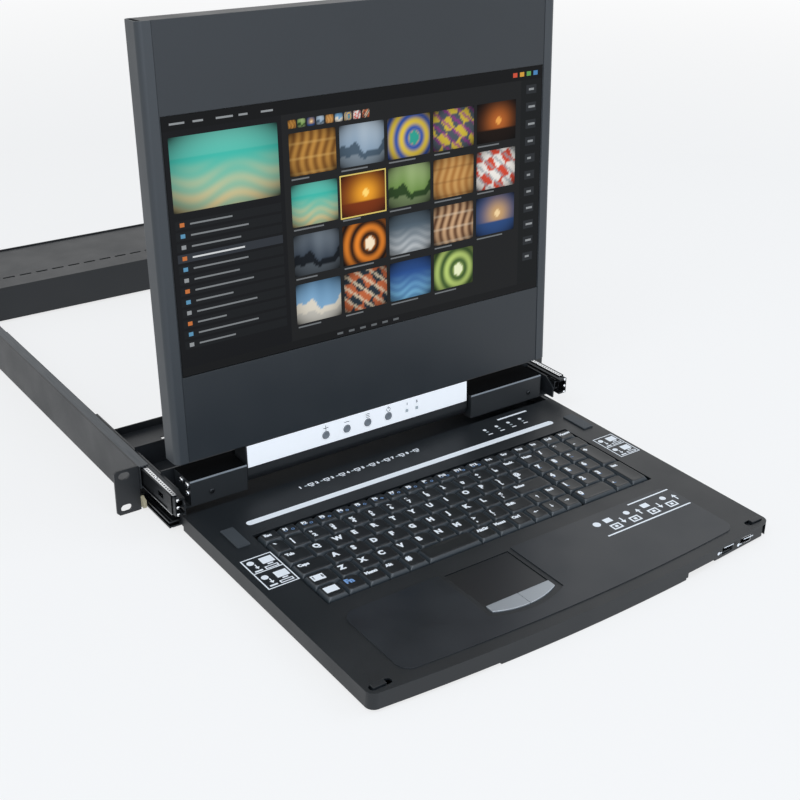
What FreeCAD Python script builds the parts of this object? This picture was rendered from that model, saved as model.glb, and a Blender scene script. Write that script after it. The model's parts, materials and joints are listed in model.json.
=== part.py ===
"""Rackmount LCD console drawer, 1U, drawn out with the display standing open.

The frame is right-handed in millimetres: +X to the right as seen from the front,
+Y into the rack, +Z up.  Y = 0 is the front face of the rack rails and the origin
is the centre of the bolt pattern in the two front ears.  Every length comes from
the spreadsheet "Dims"; a Size carries a value and the expression that it stands
for, so plain arithmetic on Sizes also writes the document's expressions.
"""
import FreeCAD, Part
import math
import os

import Sketcher

Vector = FreeCAD.Vector
doc = FreeCAD.newDocument("lcd_console_drawer")
sheet = doc.addObject("Spreadsheet::Sheet", "Dims")

# name, value in mm (or degrees where it says so), what it is
SIZE_TABLE = [
    ("panel_width", 482.6, "across the two front ears"),
    ("ear_height", 43.6, "1U less the gap to the next unit"),
    ("ear_hole_span", 465.1, "between the columns of ear slots"),
    ("ear_hole_pitch", 31.75, "between the upper and lower slots"),
    ("ear_gauge", 2.0, "thickness of an ear"),
    ("ear_slot_width", 6.8, "height of an ear slot"),
    ("ear_slot_length", 10.2, "end-to-end length of an ear slot"),
    ("chassis_width", 441.0, "outside the two side plates"),
    ("chassis_depth", 600.0, "rack face to the back of the rear panel"),
    ("plate_height", 43.2, "height of a side plate"),
    ("plate_gauge", 1.5, "thickness of the steel plates"),
    ("screw_radius", 1.9, "screws that clamp the rear arms"),
    ("bracket_reach", 60.0, "travel of a rear arm to either side"),
    ("lcd_slide_z", 10.7, "centre height of the display slides"),
    ("lcd_slide_height", 21.8, "height of the display slides"),
    ("lcd_slide_thick", 13.0, "thickness of the display slides"),
    ("lcd_outer_length", 560.0, "length of the fixed member"),
    ("lcd_middle_front", -68.0, "front end of the middle member, drawn out"),
    ("lcd_middle_length", 420.0, "length of the middle member"),
    ("lcd_inner_front", -62.0, "front end of the inner member, drawn out"),
    ("lcd_inner_length", 200.0, "length of the inner member"),
    ("slide_gauge", 1.2, "web thickness of a slide member"),
    ("ball_radius", 1.35, "balls of the display slides"),
    ("groove_radius", 1.45, "raceway radius of the display slides"),
    ("tray_slide_z", -15.3, "centre height of the keyboard slides"),
    ("tray_slide_height", 12.4, "height of the keyboard slides"),
    ("tray_slide_thick", 14.8, "thickness of the keyboard slides"),
    ("tray_outer_length", 450.0, "length of the fixed member"),
    ("tray_inner_front", -50.0, "front end of the moving member"),
    ("tray_inner_length", 180.0, "length of the moving member"),
    ("tray_ball_radius", 1.15, "balls of the keyboard slides"),
    ("tray_groove_radius", 1.25, "raceway radius of the keyboard slides"),
    ("axis_y", -38.0, "hinge axis of the display"),
    ("axis_z", 9.0, "hinge axis of the display"),
    ("display_lean", 2.6, "backward lean of the open display, degrees"),
    ("face_gap", 10.7, "hinge axis to the display's front face"),
    ("back_gap", 11.3, "hinge axis to the display's back face"),
    ("display_width", 407.4, "outside the two side rails"),
    ("display_bottom", 27.5, "hinge axis to the housing's lower edge"),
    ("display_top", 391.5, "hinge axis to the housing's upper edge"),
    ("rail_width", 12.0, "face width of a display side rail"),
    ("shell_gauge", 1.2, "thickness of the display's sheet parts"),
    ("screen_width", 381.0, "viewable width"),
    ("screen_bottom", 105.0, "hinge axis to the lower edge of the screen"),
    ("screen_height", 214.8, "viewable height"),
    ("tongue_left", -138.0, "left end of the hinge tongue"),
    ("tongue_right", 105.0, "right end of the hinge tongue"),
    ("pin_radius", 3.0, "hinge shafts"),
    ("pin_play", 0.05, "radial play of a shaft in its bracket"),
    ("cover_front", -53.0, "front face of the hinge covers"),
    ("cover_back", -23.0, "back face of the hinge covers"),
    ("cover_top", 21.5, "top of the hinge covers"),
    ("carriage_floor", -2.4, "underside of the display carriage"),
    ("deck_width", 412.0, "keyboard deck across its side skirts"),
    ("deck_top", -5.5, "top face of the keyboard deck"),
    ("deck_back", -58.0, "rear edge of the keyboard deck"),
    ("deck_front", -355.0, "front edge of the deck on the centre line"),
    ("deck_bow", 10.0, "rise of the bowed front edge to its corners"),
    ("deck_corner", 7.5, "size of the deck's rounded front corners"),
    ("deck_gauge", 2.0, "thickness of the deck plate"),
    ("skirt_height", 14.0, "height of the deck's skirt"),
    ("skirt_gauge", 1.8, "thickness of the deck's skirt"),
    ("tray_back", 130.0, "rear end of the tray pan, drawn out"),
    ("keys_left", -170.2, "left edge of the key field"),
    ("keys_front", -233.5, "front edge of the key field"),
    ("key_pitch", 19.25, "spacing of the keys"),
    ("key_gap", 0.9, "gap between neighbouring keys"),
    ("key_height", 5.0, "height of a keycap"),
    ("key_proud", 2.1, "key tops above the deck"),
    ("key_taper", 1.7, "inset of a key's top on each side"),
    ("pad_left", -76.0, "left edge of the touchpad"),
    ("pad_right", -11.5, "right edge of the touchpad"),
    ("pad_front", -306.0, "front edge of the touchpad"),
    ("pad_back", -255.0, "rear edge of the touchpad"),
    ("grip_left", -95.0, "left end of the pull grip"),
    ("grip_right", 98.0, "right end of the pull grip"),
    ("grip_bottom", -22.0, "underside of the pull grip"),
    ("port_left", 136.0, "left end of the port block"),
    ("port_right", 203.0, "right end of the port block"),
    ("port_pitch", 38.0, "spacing of the rear computer ports"),
    ("osd_button_radius", 3.7, "display menu buttons"),
    ("moving_gap", 0.3, "play round a moving part"),
]


class Size:
    """A number together with the spreadsheet expression that gives it."""

    def __init__(self, value, text):
        self.value = float(value)
        self.text = text

    def __add__(self, other):
        other = as_size(other)
        return Size(self.value + other.value, "(%s + %s)" % (self.text, other.text))

    def __sub__(self, other):
        other = as_size(other)
        return Size(self.value - other.value, "(%s - %s)" % (self.text, other.text))

    def __mul__(self, factor):
        factor = as_size(factor)
        return Size(self.value * factor.value, "(%s * %s)" % (self.text, factor.text))

    def __truediv__(self, divisor):
        divisor = as_size(divisor)
        return Size(self.value / divisor.value, "(%s / %s)" % (self.text, divisor.text))

    def __neg__(self):
        return Size(-self.value, "(-1 * %s)" % self.text)

    def __radd__(self, other):
        return as_size(other) + self

    def __rsub__(self, other):
        return as_size(other) - self

    def __rmul__(self, other):
        return as_size(other) * self


def as_size(number):
    return number if isinstance(number, Size) else Size(number, repr(float(number)))


class Dims:
    """The spreadsheet's cells as attributes: D.deck_width and so on."""


D = Dims()
for row, (name, value, note) in enumerate(SIZE_TABLE, 1):
    sheet.set("A%d" % row, name)
    sheet.set("B%d" % row, str(value))
    sheet.setAlias("B%d" % row, name)
    sheet.set("C%d" % row, note)
    setattr(D, name, Size(value, "Dims." + name))
doc.recompute()

NODES = []


def bind(obj, prop, size):
    obj.setExpression(prop, as_size(size).text)


def place(obj, x, y, z):
    for letter, size in zip("xyz", (x, y, z)):
        bind(obj, "Placement.Base." + letter, size)


def box(x0, x1, y0, y1, z0, z1):
    """A block between two corners."""
    block = doc.addObject("Part::Box", "block")
    for prop, low, high in (("Length", x0, x1), ("Width", y0, y1), ("Height", z0, z1)):
        bind(block, prop, as_size(high) - low)
    place(block, x0, y0, z0)
    return block


TURNS = {
    "X": FreeCAD.Rotation(Vector(0, 1, 0), 90),
    "Y": FreeCAD.Rotation(Vector(1, 0, 0), -90),
    "Z": FreeCAD.Rotation(),
}


def rod(axis, radius, length, x, y, z):
    """A cylinder that starts at x, y, z and runs along +axis."""
    cylinder = doc.addObject("Part::Cylinder", "rod")
    bind(cylinder, "Radius", radius)
    bind(cylinder, "Height", length)
    cylinder.Placement = FreeCAD.Placement(Vector(), TURNS[axis])
    place(cylinder, x, y, z)
    return cylinder


def ball(radius, x, y, z):
    """A steel ball drawn with few faces: a cube chamfered until all sides are alike.

    Its corners lie on the sphere, and its chamfers are 2 - sqrt(2) of half a side."""
    half = radius / math.sqrt(1.5)
    cube = box(x - half, x + half, y - half, y + half, z - half, z + half)
    chamfer = half.value * (2 - math.sqrt(2))
    rounded = doc.addObject("Part::Chamfer", "ball")
    rounded.Base = cube
    rounded.Edges = [(edge, chamfer, chamfer) for edge in range(1, 13)]
    return rounded


def fuse(*parts):
    joined = doc.addObject("Part::MultiFuse", "fuse")
    joined.Shapes = list(parts)
    joined.Refine = True
    return joined


def gather(*parts):
    """Separate solids kept together, such as identical fasteners."""
    compound = doc.addObject("Part::Compound", "group")
    compound.Links = list(parts)
    return compound


def cut(base, tool):
    result = doc.addObject("Part::Cut", "cut")
    result.Base = base
    result.Tool = tool
    return result


def mirrored(source):
    """The same piece on the other side of the centre plane."""
    copy = doc.addObject("Part::Mirroring", "mirror")
    copy.Source = source
    copy.Normal = Vector(1, 0, 0)
    return copy


def node(obj, name, tilted=False):
    """Name a finished piece; the display's pieces lean back about the hinge."""
    if tilted and obj.TypeId == "Part::Box":
        obj = gather(obj)  # the block's own place stays bound to its sizes
    obj.Label = name
    if tilted:
        turn = FreeCAD.Rotation(Vector(1, 0, 0), -D.display_lean.value)
        pivot = Vector(0, D.axis_y.value, D.axis_z.value)
        obj.Placement = FreeCAD.Placement(Vector(), turn, pivot).multiply(obj.Placement)
    NODES.append(obj)
    return obj


# ---- sketches and PartDesign features ---------------------------------------

PLANES = {"XY": ("XY_Plane", 1), "XZ": ("XZ_Plane", -1), "YZ": ("YZ_Plane", 1)}


def arc_middle(start, end, radius):
    """Middle of the short arc; a positive radius bulges to the right of travel."""
    chord = end - start
    half = chord.Length / 2
    depth = abs(radius) - math.sqrt(radius * radius - half * half)
    right = Vector(chord.y, -chord.x, 0).normalize()
    return (start + end) / 2 + right * math.copysign(depth, radius)


def draw_loop(sketch, points):
    """A closed outline through points; a third item is the radius to the next one."""
    places = [Vector(as_size(p[0]).value, as_size(p[1]).value, 0) for p in points]
    ends = []
    for index, point in enumerate(points):
        start = places[index]
        end = places[(index + 1) % len(points)]
        if len(point) == 3:
            radius = as_size(point[2])
            middle = arc_middle(start, end, radius.value)
            left_turn = radius.value > 0
            arc = Part.Arc(start, middle, end) if left_turn else Part.Arc(end, middle, start)
            edge = sketch.addGeometry(arc, False)
            ends.append((edge, 1, 2) if left_turn else (edge, 2, 1))
            size = radius if left_turn else -radius
            limit = sketch.addConstraint(Sketcher.Constraint("Radius", edge, size.value))
            sketch.setExpression("Constraints[%d]" % limit, size.text)
        else:
            edge = sketch.addGeometry(Part.LineSegment(start, end), False)
            ends.append((edge, 1, 2))
    for index, (edge, first, last) in enumerate(ends):
        other, other_first, _ = ends[(index + 1) % len(ends)]
        sketch.addConstraint(Sketcher.Constraint("Coincident", edge, last, other, other_first))
        for kind, size in zip(("DistanceX", "DistanceY"), points[index]):
            size = as_size(size)
            limit = sketch.addConstraint(
                Sketcher.Constraint(kind, -1, 1, edge, first, size.value))
            sketch.setExpression("Constraints[%d]" % limit, size.text)


def draw_circle(sketch, x, y, radius):
    x, y, radius = as_size(x), as_size(y), as_size(radius)
    circle = Part.Circle(Vector(x.value, y.value, 0), Vector(0, 0, 1), radius.value)
    edge = sketch.addGeometry(circle, False)
    for constraint, size in (
            (Sketcher.Constraint("Radius", edge, radius.value), radius),
            (Sketcher.Constraint("DistanceX", -1, 1, edge, 3, x.value), x),
            (Sketcher.Constraint("DistanceY", -1, 1, edge, 3, y.value), y)):
        limit = sketch.addConstraint(constraint)
        sketch.setExpression("Constraints[%d]" % limit, size.text)


def sketch_on(body, plane, level, loops=(), circles=()):
    """A sketch parallel to one of the body's own origin planes, at a level."""
    role, sign = PLANES[plane]
    sketch = body.newObject("Sketcher::SketchObject", "sketch")
    support = [f for f in body.Origin.OriginFeatures if f.Role == role][0]
    sketch.AttachmentSupport = [(support, "")]
    sketch.MapMode = "FlatFace"
    level = as_size(level)
    bind(sketch, "AttachmentOffset.Base.z", level if sign > 0 else -level)
    for points in loops:
        draw_loop(sketch, points)
    for x, y, radius in circles:
        draw_circle(sketch, x, y, radius)
    return sketch


def new_body(name="body"):
    return doc.addObject("PartDesign::Body", name)


def pad(body, plane, low, high, loops, circles=()):
    """Material between two levels of a plane."""
    _, sign = PLANES[plane]
    sketch = sketch_on(body, plane, low, loops, circles)
    feature = body.newObject("PartDesign::Pad", "pad")
    feature.Profile = sketch
    bind(feature, "Length", as_size(high) - low)
    feature.Reversed = sign < 0
    return feature


def pocket(body, plane, low, high, loops=(), circles=()):
    """Material taken away between two levels; it has to take something."""
    _, sign = PLANES[plane]
    doc.recompute()
    before = body.Shape.Volume
    sketch = sketch_on(body, plane, low, loops, circles)
    feature = body.newObject("PartDesign::Pocket", "pocket")
    feature.Profile = sketch
    bind(feature, "Length", as_size(high) - low)
    feature.Reversed = sign > 0
    doc.recompute()
    if body.Shape.Volume > before - 0.01:
        raise RuntimeError("a pocket in %s cuts nothing" % body.Name)
    return feature


def repeat(body, feature, direction, length, count):
    """A row of one feature along a sketch axis of that feature."""
    pattern = body.newObject("PartDesign::LinearPattern", "row")
    pattern.Originals = [feature]
    pattern.Direction = (feature.Profile[0], [direction])
    bind(pattern, "Length", length)
    pattern.Occurrences = count
    body.Tip = pattern
    doc.recompute()
    return pattern


def round_edges(body, radius, test):
    """Fillet the edges of the finished body that pass the test."""
    doc.recompute()
    edges = body.Shape.Edges
    names = ["Edge%d" % n for n, edge in enumerate(edges, 1) if test(edge)]
    last = body.Tip
    fillet = body.newObject("PartDesign::Fillet", "fillet")
    fillet.Base = (last, names)
    bind(fillet, "Radius", radius)
    body.Tip = fillet
    doc.recompute()
    return fillet


def rectangle(a0, a1, b0, b1):
    return [(a0, b0), (a1, b0), (a1, b1), (a0, b1)]


def half_turn(radius):
    """Radius for an arc so close to a half circle that its sketch still solves."""
    return as_size(radius) * 1.0001


def slot(a, b, length, width):
    """A slot with round ends, centred on a, b and long in the first direction."""
    end = (as_size(length) - width) / 2
    side = as_size(width) / 2
    a, b = as_size(a), as_size(b)
    return [(a - end, b - side), (a + end, b - side, half_turn(side)), (a + end, b + side),
            (a - end, b + side, half_turn(side))]


# ---- chassis ----------------------------------------------------------------

plate_outer = D.chassis_width / 2
plate_inner = plate_outer - D.plate_gauge
plate_top = D.plate_height / 2
ear_half = D.ear_height / 2
panel_half = D.panel_width / 2
EAR_CORNER = 2.5
SCREW_PLACES = [(530.0, 0.0), (560.0, 0.0)]


def ear_loops(inner):
    """An ear's outline from the side plate out to the panel's edge, and its slots."""
    edge = -panel_half
    top = ear_half
    outline = [(inner, -top), (inner, top), (edge + EAR_CORNER, top),
               (edge, top - EAR_CORNER), (edge, EAR_CORNER - top), (edge + EAR_CORNER, -top)]
    slots = [slot(-D.ear_hole_span / 2, side * D.ear_hole_pitch / 2,
                  D.ear_slot_length, D.ear_slot_width) for side in (-1, 1)]
    return outline, slots


def side_plate():
    """Side plate and front ear, bent from one sheet, with vent slots at the rear."""
    body = new_body("side_plate_left")
    pad(body, "YZ", -plate_outer, -plate_inner,
        [rectangle(-D.ear_gauge, D.chassis_depth, -plate_top, plate_top)])
    outline, slots = ear_loops(-plate_outer + 0.01)
    pad(body, "XZ", -D.ear_gauge, 0.0, [outline])
    pocket(body, "XZ", -D.ear_gauge - 1, 1.0, slots)
    pocket(body, "YZ", -plate_outer - 1, -plate_inner + 1, (),
           [(y, z, D.screw_radius + 0.05) for y, z in SCREW_PLACES])
    vent = pocket(body, "YZ", -plate_outer - 1, -plate_inner + 1,
                  [rectangle(480.0, 484.0, -12.0, 12.0)])
    repeat(body, vent, "H_Axis", 36.0, 5)
    return body


left_plate = side_plate()
node(left_plate, "side_plate_left")
node(mirrored(left_plate), "side_plate_right")

PORT_COUNT = 8
first_port = -118.0
inlet_x = -162.0
case_half = as_size(190.0)
case_front = D.chassis_depth - 124


def shell_outline(centre_x, centre_z, wide, narrow, height):
    """The D outline of a computer port, wide side up."""
    top = as_size(centre_z) + height / 2
    low = as_size(centre_z) - height / 2
    x = as_size(centre_x)
    return [(x - narrow / 2, low), (x + narrow / 2, low), (x + wide / 2, top),
            (x - wide / 2, top)]


def rear_panel():
    body = new_body("rear_panel")
    back = D.chassis_depth
    front = back - D.plate_gauge
    pad(body, "XZ", front, back, [rectangle(-plate_inner, plate_inner, -plate_top, plate_top)])
    for side in (-1, 1):
        wall = [rectangle(front - 14, front + 0.01, -plate_top, plate_top)]
        outer = plate_inner * side
        inner = outer - side * D.plate_gauge
        low, high = (outer, inner) if side < 0 else (inner, outer)
        pad(body, "YZ", low, high, wall)
    port = pocket(body, "XZ", front - 1, back + 1,
                  [shell_outline(first_port, -3.0, 17.6, 15.6, 9.0)])
    repeat(body, port, "H_Axis", D.port_pitch * (PORT_COUNT - 1), PORT_COUNT)
    pocket(body, "XZ", front - 1, back + 1,
           [rectangle(inlet_x - 14, inlet_x + 14, -12.0, 8.6)])
    return body


node(rear_panel(), "rear_panel")


def electronics_case():
    """Folded cover of the switch electronics, open towards the rear panel."""
    body = new_body("electronics_case")
    gauge = D.plate_gauge * (2 / 3)
    back = D.chassis_depth - D.plate_gauge
    pad(body, "XY", -20.0, 20.0, [rectangle(-case_half, case_half, case_front, back)])
    pocket(body, "XY", gauge - 20, 20 - gauge,
           [rectangle(gauge - case_half, case_half - gauge, case_front + gauge, back + 1)])
    vent = pocket(body, "XY", 10.0, 21.0,
                  [rectangle(-157.0, -143.0, case_front + 28.5, case_front + 31.5)])
    repeat(body, vent, "H_Axis", 300.0, 16)
    return body


node(electronics_case(), "electronics_case")
node(box(-140.0, 182.0, case_front + 12, D.chassis_depth - 4, -13.0, -11.4),
     "switch_board")


def computer_port(x):
    """A port's flange, its hollow D shell and the block behind the panel."""
    back = D.chassis_depth
    body = new_body("computer_port")
    pad(body, "XZ", back - 11, back - 1.5, [rectangle(x - 15.4, x + 15.4, -11.4, 3.25)])
    pad(body, "XZ", back - 1.6, back + 5.6, [shell_outline(x, -3.0, 16.9, 14.9, 8.3)])
    pocket(body, "XZ", back + 1.2, back + 7, [shell_outline(x, -3.0, 15.9, 13.9, 7.3)])
    return body


ports = [computer_port(as_size(first_port) + D.port_pitch * n) for n in range(PORT_COUNT)]
node(gather(*ports), "computer_ports")


def power_inlet():
    body = new_body("power_inlet")
    back = D.chassis_depth
    pad(body, "XZ", back - 22, back,
        [rectangle(inlet_x - 13.6, inlet_x + 13.6, -11.6, 8.2)])
    pad(body, "XZ", back, back + 2.2,
        [rectangle(inlet_x - 15.6, inlet_x + 15.6, -13.4, 10.0)])
    low, high = -9.9, 6.5
    pocket(body, "XZ", back - 15, back + 3,
           [[(inlet_x - 12.2, low), (inlet_x + 12.2, low), (inlet_x + 12.2, high - 5),
             (inlet_x + 7.2, high), (inlet_x - 7.2, high), (inlet_x - 12.2, high - 5)]])
    for x in (-6.5, 0.0, 6.5):
        blade = [rectangle(inlet_x + x - 1.0, inlet_x + x + 1.0, -3.9, 0.9)]
        pad(body, "XZ", back - 15.1, back - 4.5, blade)
    return body


node(power_inlet(), "power_inlet")

REAR_ARM_FRONT, REAR_ARM_BACK = 455.0, 700.0


def rear_bracket():
    """Sliding rear arm with its own ear, clamped through a long slot."""
    body = new_body("rear_bracket")
    outer = plate_outer + D.plate_gauge + 0.3
    pad(body, "YZ", -outer, -plate_outer - 0.3,
        [rectangle(REAR_ARM_FRONT, REAR_ARM_BACK, -16.0, 16.0)])
    outline, slots = ear_loops(-outer + 0.01)
    pad(body, "XZ", REAR_ARM_BACK - 1.5, REAR_ARM_BACK, [outline])
    pocket(body, "XZ", REAR_ARM_BACK - 2.5, REAR_ARM_BACK + 1, slots)
    pocket(body, "YZ", -outer - 1, -plate_outer,
           [slot(545.0, 0.01, D.bracket_reach * 2 + 36, 4.6)])
    return body


left_arm = rear_bracket()
node(gather(left_arm, mirrored(left_arm)), "rear_brackets")


def clamp_screw(y, z):
    """A hexagon-head screw through the rear arm's slot into the side plate."""
    outer = plate_outer + D.plate_gauge + 0.6
    shank = rod("X", D.screw_radius, D.plate_gauge + 1.4, -outer - 0.01, y, z)
    corner = 4.3
    flat = corner * math.sqrt(0.75)
    head = new_body("screw_head")
    pad(head, "YZ", -outer - 1.9, -outer, [[
        (y - corner, z), (y - corner / 2, z - flat), (y + corner / 2, z - flat),
        (y + corner, z), (y + corner / 2, z + flat), (y - corner / 2, z + flat)]])
    return fuse(shank, head)


screws_left = gather(*[clamp_screw(y, z) for y, z in SCREW_PLACES])
node(gather(screws_left, mirrored(screws_left)), "clamp_screws")


def front_stop():
    """Nylon block that guides the tray slide at the rack face."""
    body = new_body("front_stop")
    pad(body, "YZ", -plate_inner, 3.2 - plate_inner,
        [[(-7.0, -18.6), (-0.6, -18.6), (-0.6, -9.0), (-7.0, -11.5)]])
    return body


left_stop = front_stop()
node(gather(left_stop, mirrored(left_stop)), "slide_front_stops")

# ---- ball-bearing slides ----------------------------------------------------
#
# A member is a roll-formed channel.  Its section is drawn at the left side with
# u measured inwards from the side plate and w measured up from the slide's centre.
# Each flange has a raceway that follows its row of balls.

ROW_1_U, ROW_1_W = 5.4, 8.8
ROW_2_U, ROW_2_W = 9.2, 5.2
TRAY_ROW_U, TRAY_ROW_W = 6.0, 4.05


def groove(u, w, flat, radius):
    """Raceway of a ball at u, w in a flange surface at the level flat.

    The section is walked with its metal on the right, so that every raceway bulges
    to the right.  It meets the flat at half its chord, from radius and level."""
    half = math.sqrt(radius.value ** 2 - (flat - w) ** 2)
    return [(u - half, flat, radius), (u + half, flat)]


def member_points(web_u, web_w, flange_end, flange_out, flange_in, race_out, race_in, gauge):
    """Half section of a channel above its centre line, from the web outwards.

    race_out and race_in are raceways on the outer and inner flange surfaces."""
    points = [(web_u, web_w)]
    points += race_out
    points += [(flange_end, flange_out), (flange_end, flange_in)]
    points += race_in
    points += [(web_u + gauge, flange_in)]
    return points


def whole_section(upper, slide_z):
    """Upper half section and its mirror image, as one loop of x and z."""
    def spot(point, side):
        u, w = as_size(point[0]), as_size(point[1])
        return (u - plate_inner, slide_z + w * side)

    loop = []
    for index, point in enumerate(upper):
        place_up = spot(point, 1)
        loop.append(place_up + (point[2],) if len(point) == 3 else place_up)
    for index in range(len(upper) - 1, -1, -1):
        place_down = spot(upper[index], -1)
        before = upper[index - 1] if index > 0 else ()
        loop.append(place_down + (before[2],) if len(before) == 3 else place_down)
    return loop


def reversed_race(points):
    """The same raceway walked the other way."""
    first, last = points
    return [(last[0], last[1], first[2]), (first[0], first[1])]


def slide_member(name, upper, slide_z, front, length, holes=()):
    """A channel along Y from its section, with mounting windows through its web."""
    body = new_body(name)
    front = as_size(front)
    pad(body, "XZ", front, front + length, [whole_section(upper, slide_z)])
    for y in holes:
        pocket(body, "YZ", -plate_inner - 1, -plate_inner + 20,
               [rectangle(y - 5, y + 5, slide_z - 2.3, slide_z + 2.3)])
    return body


half_lcd = D.lcd_slide_height / 2
gauge = D.slide_gauge

outer_section = member_points(
    0.0, half_lcd, 8.6, half_lcd, 9.6, [],
    reversed_race(groove(ROW_1_U, ROW_1_W, 9.6, D.groove_radius)), gauge)
middle_section = member_points(
    2.4, 8.0, 11.4, 8.0, 6.0,
    groove(ROW_1_U, ROW_1_W, 8.0, D.groove_radius),
    reversed_race(groove(ROW_2_U, ROW_2_W, 6.0, D.groove_radius)), gauge)


def inner_loop(slide_z, thick, web, tip, top, under, race):
    """Section of a moving member whose web faces the drawer."""
    def spot(u, w):
        return (as_size(u) - plate_inner, slide_z + w)

    first, last = race
    return [
        spot(tip, under), spot(tip, top), spot(first[0], top) + (first[2],),
        spot(last[0], top), spot(thick, top), spot(thick, -top),
        spot(last[0], -top) + (first[2],), spot(first[0], -top), spot(tip, -top),
        spot(tip, -under), spot(as_size(thick) - web, -under),
        spot(as_size(thick) - web, under)]


def moving_member(name, loop, front, length):
    body = new_body(name)
    pad(body, "XZ", front, as_size(front) + length, [loop])
    return body


def both_sides(left, name):
    return node(gather(left, mirrored(left)), name)


lcd_outer = slide_member("lcd_outer", outer_section, D.lcd_slide_z, -4.0,
                         D.lcd_outer_length, (30.0, 190.0, 350.0, 510.0))
both_sides(lcd_outer, "lcd_slide_outers")
lcd_middle = slide_member("lcd_middle", middle_section, D.lcd_slide_z,
                          D.lcd_middle_front, D.lcd_middle_length, (-40.0, 300.0))
both_sides(lcd_middle, "lcd_slide_middles")
lcd_inner = moving_member(
    "lcd_inner",
    inner_loop(D.lcd_slide_z, D.lcd_slide_thick, D.slide_gauge, 6.6, 4.4, 2.8,
               groove(ROW_2_U, ROW_2_W, 4.4, D.groove_radius)),
    D.lcd_inner_front, D.lcd_inner_length)
both_sides(lcd_inner, "lcd_slide_inners")

half_tray = D.tray_slide_height / 2
tray_section = member_points(
    0.0, half_tray, 9.2, half_tray, 4.9, [],
    reversed_race(groove(TRAY_ROW_U, TRAY_ROW_W, 4.9, D.tray_groove_radius)), 1.0)
tray_outer = slide_member("tray_outer", tray_section, D.tray_slide_z, 1.0,
                          D.tray_outer_length)
both_sides(tray_outer, "tray_slide_outers")
tray_inner = moving_member(
    "tray_inner",
    inner_loop(D.tray_slide_z, D.tray_slide_thick, D.slide_gauge, 4.0, 3.2, 1.6,
               groove(TRAY_ROW_U, TRAY_ROW_W, 3.2, D.tray_groove_radius)),
    D.tray_inner_front, D.tray_inner_length)
both_sides(tray_inner, "tray_slide_inners")


def ball_cage(slide_z, web_u, strip_end, row, strip, radius, front, length, count):
    """A U-shaped retainer strip and the two rows of balls that it spaces."""
    u_row, w_row = row
    front, length = as_size(front), as_size(length)
    body = new_body("retainer")
    gauge_web = 0.5
    high, low = w_row + strip, w_row - strip
    loop = [(web_u, -high), (strip_end, -high), (strip_end, -low), (web_u + gauge_web, -low),
            (web_u + gauge_web, low), (strip_end, low), (strip_end, high), (web_u, high)]
    pad(body, "XZ", front, front + length,
        [[(as_size(u) - plate_inner, slide_z + w) for u, w in loop]])
    pitch = length / count
    x = as_size(u_row) - plate_inner
    first = front + pitch / 2
    side = radius + 0.02
    window = pocket(body, "XY", slide_z - high - 1, slide_z + high + 1,
                    [rectangle(x - side, x + side, first - side, first + side)])
    repeat(body, window, "V_Axis", pitch * (count - 1), count)
    pocket(body, "YZ", -plate_inner, as_size(strip_end) - plate_inner,
           [rectangle(front + 8, front + length - 8, slide_z - low + 1.4,
                      slide_z + low - 1.4)])
    balls = [ball(radius, x, first + pitch * n, slide_z + side * w_row)
             for n in range(count) for side in (-1, 1)]
    return [body] + balls


def cage_node(name, pieces):
    left = gather(*pieces)
    node(gather(left, mirrored(left)), name)


cage_node("outer_ball_cages", ball_cage(
    D.lcd_slide_z, 1.55, 7.4, (ROW_1_U, ROW_1_W), 0.25, D.ball_radius,
    -62.0, 360.0, 5))
cage_node("inner_ball_cages", ball_cage(
    D.lcd_slide_z, 4.8, 10.8, (ROW_2_U, ROW_2_W), 0.25, D.ball_radius,
    -60.0, 180.0, 3))
cage_node("tray_ball_cages", ball_cage(
    D.tray_slide_z, 2.0, 8.0, (TRAY_ROW_U, TRAY_ROW_W), 0.2, D.tray_ball_radius,
    10.0, 90.0, 3))

# ---- display carriage -------------------------------------------------------

arm_outer = plate_inner - D.lcd_slide_thick
arm_inner = arm_outer - 1.6
cover_ends = {"left": (-195.0, -140.5), "right": (106.5, 195.0)}


def carriage_frame():
    """Rear cross channel, two side arms and the floors below the hinge covers."""
    cross_front, cross_back = -20.0, 34.0
    floor = D.carriage_floor
    body = new_body("carriage_frame")
    top = D.cover_top - 1.0
    for side in (-1, 1):
        low, high = (-arm_outer, -arm_inner) if side < 0 else (arm_inner, arm_outer)
        pad(body, "YZ", low, high, [[
            (D.lcd_inner_front, floor), (138.0, floor), (138.0, 8.0), (120.0, 17.0),
            (-20.0, 17.0), (-50.0, 17.0), (D.lcd_inner_front, 8.0)]])
        edge = cover_ends["left"][1] if side < 0 else cover_ends["right"][0]
        low, high = (-arm_outer, edge) if side < 0 else (edge, arm_outer)
        pad(body, "XY", floor, floor + 1.2,
            [rectangle(as_size(low), as_size(high), D.cover_front, cross_front + 0.01)])
        if side < 0:
            pad(body, "YZ", -arm_outer + 0.01, arm_outer - 0.01, [[
                (cross_front, floor), (cross_back, floor), (cross_back, top),
                (cross_back - 1.2, top), (cross_back - 1.2, floor + 1.2),
                (cross_front + 1.2, floor + 1.2), (cross_front + 1.2, top),
                (cross_front, top)]])
    hole = pocket(body, "XY", floor - 1, floor + 2, [rectangle(-171.0, -149.0, 3.0, 13.0)])
    repeat(body, hole, "H_Axis", 320.0, 9)
    return body


node(carriage_frame(), "carriage_frame")


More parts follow.
